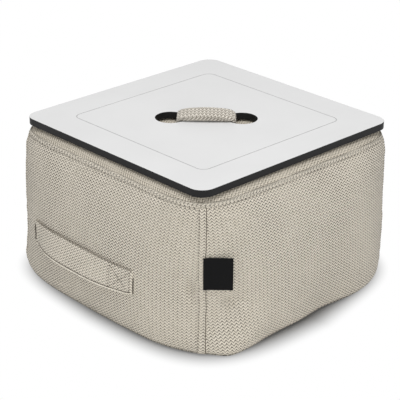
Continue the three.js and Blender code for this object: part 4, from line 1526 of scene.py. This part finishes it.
@dataclass
class TopStrap:
    """The padded strap of the tray: up through one finger hole, over the board between them, down the other.

    Its inner line is upright in each hole, and over the board the superellipse |a / place|^p + |h / rise|^p = 1.
    Its section is a superellipse on the outer side of that line, a little rounder below than above, and in the middle
    its padding sags into the arch.
    """

    span: float = 108 * MM
    rise: float = 12.5 * MM
    arch_power: float = 2.0
    width: float = 48 * MM
    leg_width: float = 40 * MM
    thickness: float = 7.2 * MM
    fill: float = 4.9 * MM
    taper: float = 0.12
    section_power: float = 7.0
    lower_power: float = 5.0
    foot: float = 287.3 * MM
    shoulder: float = 300.6 * MM
    leg_rows: int = 10
    arch_rows: int = 130
    sides: int = 96
    pillow: float = 0.05
    seam_dip: float = 0.5 * MM
    seam_width: float = 0.02
    unevenness: float = 0.25 * MM
    wave: float = 24 * MM
    hole_pitch: float = 6.9 * MM
    hole_length: float = 1.9 * MM
    hole_radius: float = 0.7 * MM
    hole_side: float = 0.955
    hole_start: float = 0.03
    tail_low: float = 287.6 * MM
    tail_high: float = 290.0 * MM
    tail_room: float = 0.4 * MM
    tail_wave: float = 30 * MM

    def build(self) -> None:
        """Build and dress the strap, its stitches and its tail under the board."""
        angle = np.linspace(0, 2 * math.pi, self.sides + 1)
        turn, drop = self._rows()
        points = self._surface(turn[:, None], drop[:, None], angle[None])
        uv = np.stack([arc_lengths(points, 0), arc_lengths(points, 1)], -1)
        piece = grid_object("top_strap", points[::-1, :-1], uv[::-1], Close.ACROSS, caps=True)
        # Painted shade: the tray's strap wears the darker copy of the strap weave.
        dress(piece, HANDLE_SHADED)
        settle(piece, "cover_cloth", "top_handle_sleeve", "top_handle_padding", "top_handle_right_leg",
               "top_handle_left_leg", body=None)
        self._blend(piece)
        self._holes()
        self._tail()

    def _rows(self) -> tuple[np.ndarray, np.ndarray]:
        """Give the rows along the strap: each one's turn on the arch, and how far it hangs under the shoulder."""
        leg = np.linspace(self.shoulder - self.foot, 0, self.leg_rows, endpoint=False)
        arch = np.linspace(0, math.pi, self.arch_rows)
        turn = np.concatenate([np.zeros(self.leg_rows), arch, np.full(self.leg_rows, math.pi)])
        return turn, np.concatenate([leg, np.zeros(self.arch_rows), leg[::-1]])

    def _surface(self, turn: np.ndarray, drop: np.ndarray, angle: np.ndarray) -> np.ndarray:
        """Give places on the strap.

        Args:
            turn: 0 to pi along the arch.
            drop: distance below the arch's end.
            angle: place round its section; a quarter turn is its outer face.

        Returns:
            Points.
        """
        turn, drop, angle = np.broadcast_arrays(turn, drop, angle)
        place, rise = self.span / 2 - self.thickness, self.rise - self.thickness
        cos, sin = np.cos(turn), np.maximum(np.sin(turn), 0)
        along = powered(cos, 2 / self.arch_power)
        up = sin ** (2 / self.arch_power)
        lean = unit(np.stack([powered(along, self.arch_power - 1) / place, up ** (self.arch_power - 1) / rise], -1))
        bend = 2 / np.where(np.sin(angle) < 0, self.lower_power, self.section_power)
        side, out = powered(np.cos(angle), bend), powered(np.sin(angle), bend)
        seam = self.seam_dip * hill(np.abs(side) - self.hole_side, self.seam_width) * (out > 0)
        across = side * (self.leg_width + (self.width - self.leg_width) * up) / 2
        across = across * (1 - self.taper * up * np.maximum(-out, 0))
        pillow = 1 - self.pillow * (out > 0) * np.abs(side) ** 2
        out = (1 + out * pillow) * self.thickness / 2 - seam - self.fill * up * (1 - out) / 2
        out = out + self.unevenness * ripple(along * place, across, self.wave, seed=31)
        z = self.shoulder - drop + up * rise + out * lean[..., 1]
        return on_diagonal(along * place + out * lean[..., 0], across, z)

    def _holes(self) -> None:
        """Sew the row of stitches along each upper edge, in dark thread sunk into it, as painted shade of the stitch
        holes.
        """
        turn = np.linspace(self.hole_start, math.pi - self.hole_start, 400)
        drop = np.zeros_like(turn)
        pieces = []
        for number, side in enumerate((-self.hole_side, self.hole_side)):
            angle = math.acos(math.copysign(abs(side) ** (self.section_power / 2), side))
            line = self._surface(turn, drop, np.full_like(turn, angle))
            outward = unit(line - self._surface(turn, drop, np.full_like(turn, -angle)))
            pieces.append(sew(f"strap_row_{number}", line, outward, self.hole_pitch, self.hole_length,
                              self.hole_radius, sink=0.4))
        row = merged("top_strap_stitches", pieces)
        dress(row, SHADOW_THREAD)
        settle(row, "cover_cloth", body=None)
        self._blend(row)

    def _blend(self, piece: bpy.types.Object) -> None:
        """Bake the piece's place into its points, as it rides on no body."""
        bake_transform(piece)

    def _tail(self) -> None:
        """Make the tail that closes the strap to a loop, flat in its pocket under the board."""
        along, across = np.meshgrid(np.linspace(-1, 1, 40) * (self.span / 2 - self.thickness - self.tail_room),
                                    np.linspace(-1, 1, 16) * (self.leg_width / 2 - self.tail_room))
        level = self.tail_high - self.tail_room / 2
        level = level + self.tail_room / 4 * ripple(along, across, self.tail_wave, seed=41)
        piece = grid_object("top_strap_tail", on_diagonal(along, across, level), np.stack([along, across], -1))
        thicken(piece, self.tail_high - self.tail_low - self.tail_room)
        dress(piece, PATCH)
        settle(piece, "webbing", "top_handle_anchor", body="tray")


@dataclass
class SideStrap:
    """The carrying strap on the left face: a sewn front end, a loose band and a rear end that goes into a slit.

    With v from -1 to 1 along the loose band, it stands off by (1 - |v|^3)^1.2 times a bow, which grows from its top
    edge to its bottom edge. The strap climbs very slightly towards the rear. A thread is given by how deep it is sunk
    and by its radius, and a slit by its values at the front and at the rear.
    """

    shape: PoufShape
    middle: float = 24 * MM
    height: float = 106 * MM
    climb: float = 0.002
    width: float = 48 * MM
    belly: float = -0.03
    thickness: float = 3.2 * MM
    top_bow: float = 2.2 * MM
    bottom_bow: float = 12.7 * MM
    grip: float = 172 * MM
    tab: float = 53 * MM
    rear_tab: float = 48 * MM
    loose: tuple[float, float] = (-90 * MM, 147 * MM)
    rear_gather: float = 0.18
    front_gather: float = 0.24
    gather_reach: float = 28 * MM
    section_power: float = 9.0
    sides: int = 80
    rows: int = 100
    clearance: float = 0.4 * MM
    seam_dip: float = 1.0 * MM
    seam_width: float = 1.1 * MM
    tuck_length: float = 4 * MM
    tuck_depth: float = 1.6 * MM
    tuck_thin: float = 0.75
    unevenness: float = 0.25 * MM
    wave: float = 22 * MM
    edge_line: float = 3.6 * MM
    hem_share: float = 1.5
    top_line: float = 0.985
    box_inset: float = 5 * MM
    thread_lift: float = 0.35 * MM
    lower_thread: tuple[float, float] = (0.4 * MM, 0.8 * MM)
    upper_thread: tuple[float, float] = (0.8 * MM, 0.8 * MM)
    box_thread: tuple[float, float] = (0.0, 0.5 * MM)
    stitch_pitch: float = 4.2 * MM
    stitch_length: float = 3.4 * MM
    slit_half: tuple[float, float] = (1.1 * MM, 2.6 * MM)
    slit_past: tuple[float, float] = (0.4 * MM, 7.5 * MM)
    slit_reach: float = 15 * MM
    slit_drop: float = 4 * MM
    slit_rise: float = 0.6 * MM
    slit_cloth: float = 0.5 * MM
    patch_margin: float = 6 * MM
    patch_depth: float = 4.3 * MM
    patch_cloth: float = 0.8 * MM

    def build(self) -> None:
        """Build and dress both halves, their stitches and the patches behind their ends."""
        nodes = {"front": ("side_handle_sleeve", "side_handle_front_tab"),
                 "rear": ("side_handle_webbing", "side_handle_rear_tab")}
        for end, sign in (("front", -1), ("rear", 1)):
            self._half(end, sign, nodes[end])
            self._sewing(end, sign)
            self._slit_shadow(end, sign)
            self._patch(end, sign)

    def _reach(self, sign: int) -> float:
        """Give the length from the middle to the front end, for -1, or to the rear end, for 1."""
        return self.grip / 2 + (self.tab if sign < 0 else self.rear_tab)

    def _on(self, along: np.ndarray, up: np.ndarray, out: np.ndarray | float) -> np.ndarray:
        """Give places on or over the left face.

        Args:
            along: Y.
            up: distance above the strap's middle line.
            out: distance off the cloth.

        Returns:
            Points.
        """
        along, up, out = np.broadcast_arrays(along, up, out)
        arc = self.shape.arc_at(self.height) + up + (along - self.middle) * self.climb
        return self.shape.over(self.shape.turn_at(2, -along, arc), arc, out)

    def _slack(self, along: np.ndarray) -> np.ndarray:
        """Give how far the band hangs loose at a Y, from 0 at its sewn ends to 1."""
        start, end = self.loose
        v = np.clip((2 * along - start - end) / (end - start), -1, 1)
        return (1 - np.abs(v) ** 3) ** 1.2

    def _place(self, along: np.ndarray, side: np.ndarray, out: np.ndarray | float) -> np.ndarray:
        """Give places on the strap.

        Args:
            along: Y.
            side: place across it, from -1 at its bottom edge to 1 at its top edge.
            out: distance off the cloth, besides the bow.

        Returns:
            Points.
        """
        slack = self._slack(along)
        bow = slack * (self.top_bow + (self.bottom_bow - self.top_bow) * (1 - side) / 2)
        up = side * self.width / 2 * (1 + (self.belly * slack - self._gather(along)) * (side < 0))
        return self._on(along, up, out + bow)

    def _gather(self, along: np.ndarray) -> np.ndarray:
        """Give the share by which the lower half narrows towards both ends, as the square of the way to them."""
        rear = np.clip((along - self.middle - self._reach(1)) / self.gather_reach + 1, 0, 1)
        front = np.clip((self.middle - along - self._reach(-1)) / self.gather_reach + 1, 0, 1)
        return self.rear_gather * rear ** 2 + self.front_gather * front ** 2

    def _half(self, end: str, sign: int, nodes: tuple[str, ...]) -> None:
        """Make half the strap, from its sewn end to the middle of the grip.

        Args:
            end: which half.
            sign: -1 towards the front, 1 towards the rear.
            nodes: the nodes that it stands for.
        """
        reach = self._reach(sign)
        run = np.linspace(0, reach, self.rows)
        along = self.middle + sign * run
        angle = np.linspace(0, 2 * math.pi, self.sides + 1)
        side, out = powered(np.cos(angle), 2 / self.section_power), powered(np.sin(angle), 0.5)
        seam = self.seam_dip * hill((1 + side) * self.width / 2 - self.edge_line, self.seam_width) * (out > 0)
        tuck = np.clip((run - reach) / self.tuck_length + 1, 0, 1)[:, None] ** 2
        lift = self.thickness / 2 * (1 + out[None]) * (1 - self.tuck_thin * tuck) + self.clearance
        lift = lift - self.tuck_depth * tuck - seam[None]
        uneven = ripple(along[:, None], side[None] * self.width / 2, self.wave, seed=51)
        lift = lift + self.unevenness * uneven * (1 - tuck)
        points = self._place(along[:, None], side[None], lift)
        if sign > 0:
            points = points[::-1]
            along = along[::-1]
        uv = np.stack([np.broadcast_to(along[:, None], points.shape[:2]), arc_lengths(points, 1)], -1)
        piece = grid_object(f"side_strap_{end}_half", points[:, :-1], uv, Close.ACROSS, caps=True)
        # Painted highlight: the faces along the lower edge take the paler hem finish.
        dress(piece, STRAP, HEM_HIGHLIGHT)
        hem = np.tile((side[:-1] + side[1:]) / 2 < self.edge_line / self.width * self.hem_share - 1, self.rows - 1)
        piece.data.polygons.foreach_set("material_index", np.append(hem, [False, False]).astype(np.int32))
        settle(piece, "cover_cloth", *nodes, body=None)
        self._blend(piece, sign)

    def _blend(self, piece: bpy.types.Object, sign: int) -> None:
        """Bake a half's place into its points, as it rides on no body."""
        level = -float(np.interp(self.shape.arc_at(self.height), self.shape.arc, self.shape.face))
        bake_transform(piece)

    def _sewing(self, end: str, sign: int) -> None:
        """Sew both edges of a half, sunk into them, and a box with a cross on the front end.

        The thread is dark, as painted shade of the stitch holes.

        Args:
            end: which half.
            sign: -1 towards the front, 1 towards the rear.
        """
        reach = self._reach(sign)
        edge = 1 - self.edge_line / (self.width / 2)
        near, far = self.grip / 2 + 2 * MM, reach - self.box_inset
        lines = [((0, -edge), (reach - 3 * MM, -edge), self.lower_thread),
                 ((0, self.top_line), (reach - 1 * MM, self.top_line), self.upper_thread)]
        if sign < 0:
            box = (((near, edge), (near, -edge)), ((far, edge), (far, -edge)),
                   ((near, edge), (far, -edge)), ((near, -edge), (far, edge)))
            lines += [(*line, self.box_thread) for line in box]
        rows = []
        for number, ((run_a, side_a), (run_b, side_b), (sunk, radius)) in enumerate(lines):
            run, side = np.linspace(run_a, run_b, 200), np.linspace(side_a, side_b, 200)
            along = self.middle + sign * run
            line = self._place(along, side, self.thickness + self.thread_lift - sunk)
            outward = unit(line - self._place(along, side, 0.0))
            rows.append(sew(f"strap_{end}_line_{number}", line, outward, self.stitch_pitch, self.stitch_length, radius,
                            sink=0.3))
        piece = merged(f"side_strap_{end}_stitches", rows)
        dress(piece, SHADOW_THREAD)
        settle(piece, "cover_cloth", body=None)
        self._blend(piece, sign)

    def _slit_shadow(self, end: str, sign: int) -> None:
        """Make the bound slit in the cover that a strap end goes into: a narrow dark lens just past the end.

        The lens is a dark sheet of painted shadow, where the slit's opening is in shade.

        Args:
            end: which half.
            sign: -1 towards the front, 1 towards the rear.
        """
        reach = self._reach(sign)
        up = np.linspace(-1, 1, 40)[:, None]
        across = np.linspace(-1, 1, 7)[None]
        half = self.slit_half[sign > 0] * np.sqrt(np.maximum(1 - up ** 4, 0.02))
        along = self.middle + sign * (reach + self.slit_past[sign > 0]) + sign * across * half
        points = self._on(along, up * self.slit_reach - self.slit_drop, self.slit_rise * (1 - across ** 2))
        if sign < 0:
            points = points[:, ::-1]
        uv = np.stack(np.broadcast_arrays(along, up * self.width / 2), -1)
        piece = grid_object(f"side_strap_{end}_slit_shadow", points, uv)
        thicken(piece, self.slit_cloth)
        dress(piece, SHADOW_THREAD)
        settle(piece, "cover_cloth")

    def _patch(self, end: str, sign: int) -> None:
        """Make the patch behind the cover that a strap end is sewn through to.

        Args:
            end: which half.
            sign: -1 towards the front, 1 towards the rear.
        """
        margin = self.patch_margin
        run = np.linspace(self.grip / 2 - margin, self.grip / 2 + self.tab + margin, 18)
        up = np.linspace(-1, 1, 16) * (self.width / 2 + margin)
        along = self.middle + sign * run
        points = self._on(along[None], up[:, None], -self.patch_depth)
        if sign > 0:
            points = points[:, ::-1]
        places = np.stack(np.meshgrid(along, up), -1)
        piece = grid_object(f"side_strap_{end}_patch", points, places)
        thicken(piece, self.patch_cloth)
        dress(piece, PATCH)
        settle(piece, "webbing", f"side_handle_{end}_patch")


@dataclass
class CornerLabel:
    """The bare black label, sewn on the front corner's seam by a margin on its left."""

    width: float = 45.5 * MM
    height: float = 59 * MM
    bottom: float = 124 * MM
    margin: float = 4.2 * MM
    thickness: float = 0.8 * MM
    hem: float = 4 * MM
    hem_rise: float = 0.35 * MM
    bow: float = 0.5 * MM
    unevenness: float = 0.35 * MM
    wave: float = 30 * MM
    strip_rise: float = 1.7 * MM
    fold: float = 4 * MM

    def build(self) -> None:
        """Build and dress the label: a sheet with a raised hem at its top and bottom and a slight wave."""
        low, high = (np.array(corner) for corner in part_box("corner_label"))
        across = np.linspace(-self.margin / self.width, 1, 44)[None]
        up = np.linspace(0, 1, 52)[:, None]
        direction = np.array([math.cos(DIAGONAL), math.sin(DIAGONAL), 0])
        outward = np.array([direction[1], -direction[0], 0])
        start = np.array([low[0], high[1], self.bottom])
        ease = np.clip(across, 0, 1)
        uneven = ripple(across * self.width, up * self.height, self.wave, seed=61)
        wave = ease * (self.bow * np.sin(up * 5.0 + 0.6) + self.unevenness * uneven)
        rim = np.minimum(np.minimum(up, 1 - up) * self.height, (1 - across) * self.width + self.hem)
        hem = self.hem_rise * np.clip(1 - (rim / self.hem) ** 6, 0, 1)
        over_strip = self.strip_rise * np.clip(1 - ease * 5, 0, 1) ** 2
        points = (start + direction * (across * self.width + 0 * up)[..., None]
                  + outward * (wave + hem + over_strip)[..., None]
                  + np.array([0, 0, 1]) * (up * self.height + 0 * across)[..., None])
        uv = np.stack(np.broadcast_arrays(across * self.width, up * self.height), -1)
        piece = grid_object("label_cloth", points, uv)
        thicken(piece, self.thickness)
        dress(piece, LABEL)
        settle(piece, "label", "corner_label", body=None)
        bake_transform(piece)


@dataclass
class BaseZip:
    """The zip in the base: two woven tapes, two moulded coils, end stops and a slider."""

    rib: float = 0.15 * MM
    rib_start: float = 0.8
    tooth_pitch: float = 1.5 * MM
    tooth_radius: float = 0.62 * MM
    tooth_lean: float = 0.15

    def build(self) -> None:
        """Build and dress the zip."""
        for side in ("front", "rear"):
            self._tape(side)
            self._coil(side)
        for node in ("zip_closed_stop", "zip_open_stop", "zip_slider"):
            dress(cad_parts[node], ZINC)

    def _tape(self, side: str) -> None:
        """Make a tape with a faint rib along each edge, in its solid's box."""
        low, high = (np.array(corner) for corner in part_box(f"zip_{side}_tape"))
        x, y = np.meshgrid(np.linspace(low[0], high[0], 160), np.linspace(low[1], high[1], 15))
        rib = np.abs((y - low[1]) / (high[1] - low[1]) * 2 - 1) > self.rib_start
        z = high[2] - self.rib + self.rib * rib
        piece = grid_object(f"zip_{side}_tape_cloth", np.stack([x, y, z], -1), np.stack([x, y], -1))
        thicken(piece, float(high[2] - low[2]) - 0.2 * MM)
        dress(piece, TAPE)
        settle(piece, "zip_tape", f"zip_{side}_tape")

    def _coil(self, side: str) -> None:
        """Make a coil: one short bead per turn, each lying across the tape, in its solid's box."""
        low, high = (np.array(corner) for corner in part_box(f"zip_{side}_coil"))
        count = int((high[0] - low[0]) / self.tooth_pitch)
        x = low[0] + (np.arange(count) + 0.5) * (high[0] - low[0]) / count
        middle = (low + high) / 2
        places = np.stack([x, np.full(count, middle[1]), np.full(count, middle[2])], -1)
        across = np.tile([self.tooth_lean, 1.0, 0.0], (count, 1))
        upward = np.tile([0.0, 0.0, 1.0], (count, 1))
        length = float(high[1] - low[1])
        piece = stitches(f"zip_{side}_teeth", places, across, upward, length, self.tooth_radius, sink=0.3)
        dress(piece, COIL)
        settle(piece, "zip_coil", f"zip_{side}_coil")


@dataclass(frozen=True)
class Lamp:
    """A large square lamp: its name, where it hangs, its side and its watts."""

    name: str
    place: tuple[float, float, float]
    size: float
    power: float

    def hang(self) -> None:
        """Hang it, facing the pouf's middle."""
        light = bpy.data.lights.new(self.name, "AREA")
        light.size = self.size
        light.energy = self.power
        lamp = bpy.data.objects.new(self.name, light)
        lamp.location = self.place
        lamp.rotation_euler = (Vector((0, 0, 0.2)) - Vector(self.place)).to_track_quat("-Z", "Y").to_euler()
        bpy.context.scene.collection.objects.link(lamp)


@dataclass
class Studio:
    """Pale floor, soft light and the camera at the photograph's angle."""

    aim: tuple[float, float, float] = (-0.2543, -0.2515, 0.300)
    azimuth: float = -43.6
    elevation: float = 24.57
    distance: float = 2.3688
    lens: float = 133.83
    roll: float = 0.27
    ambient: float = 0.34
    floor_half: float = 6.0
    # Painted shadow: for the camera, the floor round the foot is this grey instead of white, which deepens the real
    # shadow there.
    floor_shadow_grey: float = 0.28
    shade_reach: tuple[float, float] = (0.268, 0.328)
    shade_shift: float = 0.012
    shade_corners: tuple[float, float] = (0.65, 0.25)
    floor_white: float = 0.93
    floor_drop: float = 0.3 * MM
    lamps: tuple[Lamp, ...] = (
        Lamp("overhead lamp", (-0.2, -0.2, 2.6), 2.0, 52.0),
        Lamp("right lamp", (0.3, -2.7, 0.7), 1.4, 8.0),
        Lamp("left lamp", (-2.6, -0.3, 0.7), 1.4, 4.0),
        Lamp("front lamp", (-1.9, -1.9, 1.1), 1.4, 17.0),
    )

    def build(self) -> None:
        """Build the floor, the light and the camera."""
        bpy.context.scene.view_settings.view_transform = "Standard"
        self._floor()
        self._world()
        for lamp in self.lamps:
            lamp.hang()
        self._camera()

    def _floor(self) -> None:
        """Make the floor: matt white, but for the camera painted grey round the foot and plain white beyond it.

        The painted grey deepens the real shadow round the foot.
        """
        half = self.floor_half
        corners = np.array([[-half, -half, 0], [half, -half, 0], [half, half, 0], [-half, half, 0]])
        floor = mesh_object("floor", corners - np.array([0, 0, self.floor_drop]), [[0, 1, 2, 3]])
        shader, material = Shader.named("studio floor")
        nodes = shader.tree.nodes
        shader.surface(Base_Color=(self.floor_white,) * 3 + (1.0,), Roughness=1.0, Specular_IOR_Level=0.0)
        plain = Socket(shader, nodes["Principled BSDF"].outputs[0])
        shaded = shader.node("ShaderNodeBsdfDiffuse", {}, {"Color": (self.floor_shadow_grey,) * 3 + (1.0,)})
        white = shader.node("ShaderNodeEmission", {}, {"Color": (1, 1, 1, 1), "Strength": 1.0})
        x, y = shader.split(shader.object_place())
        # Painted shadow: the grey gives way to white with reach, whose middle is moved towards +x by shade_shift and
        # which grows towards the +x, -y and -x, +y corners, so the shadow ends sooner there.
        reach = ((x - self.shade_shift).abs() ** 4 + y.abs() ** 4) ** 0.25
        for side, share in zip((1, -1), self.shade_corners):
            reach = reach + (x * side).at_least(0.0) * (y * -side).at_least(0.0) * share
        open_floor = shader.node("ShaderNodeMixShader", {}, {0: reach.above(*self.shade_reach), 1: shaded, 2: white})
        seen = shader.node("ShaderNodeMixShader", {}, {0: self._shown(shader), 1: plain, 2: open_floor})
        shader.feed(nodes["Material Output"], {"Surface": seen})
        floor.data.materials.append(material)

    @staticmethod
    def _shown(shader: Shader) -> Socket:
        """Give 1 for rays from the camera, or from it by way of gloss or glass."""
        camera, glossy, through = (shader.node("ShaderNodeLightPath", {}, {}, f"Is {kind} Ray")
                                   for kind in ("Camera", "Glossy", "Transmission"))
        return camera.at_least(glossy).at_least(through)

    def _world(self) -> None:
        """Make the even light from all round, which shows as white."""
        world = bpy.data.worlds.new("studio")
        world.use_nodes = True
        bpy.context.scene.world = world
        shader = Shader(world.node_tree)
        strength = self._shown(shader) * (1 - self.ambient) + self.ambient
        shader.feed(world.node_tree.nodes["Background"], {"Color": (1, 1, 1, 1), "Strength": strength})

    def _camera(self) -> None:
        """Set the camera at its distance behind the aim point, along the azimuth and elevation."""
        data = bpy.data.cameras.new("camera")
        data.lens = self.lens
        data.sensor_width = 36.0
        camera = bpy.data.objects.new("camera", data)
        turn, rise = math.radians(self.azimuth), math.radians(self.elevation)
        back = Vector((math.sin(turn) * math.cos(rise), -math.cos(turn) * math.cos(rise), math.sin(rise)))
        camera.location = Vector(self.aim) + back * self.distance
        level = (-back).to_track_quat("-Z", "Y")
        camera.rotation_euler = (level @ Quaternion((0, 0, 1), math.radians(self.roll))).to_euler()
        bpy.context.scene.collection.objects.link(camera)
        bpy.context.scene.camera = camera


def main() -> None:
    """Build the studio and the pouf's sub-assemblies in order."""
    logging.basicConfig(level=logging.INFO, format="%(name)s: %(message)s")
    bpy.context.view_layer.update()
    shape = PoufShape()
    Stuffing().settle(shape)
    Studio().build()
    Cover(shape).build()
    Filling(shape).build()
    Tray().build()
    TopStrap().build()
    SideStrap(shape).build()
    CornerLabel().build()
    BaseZip().build()


if __name__ == "__main__":
    main()
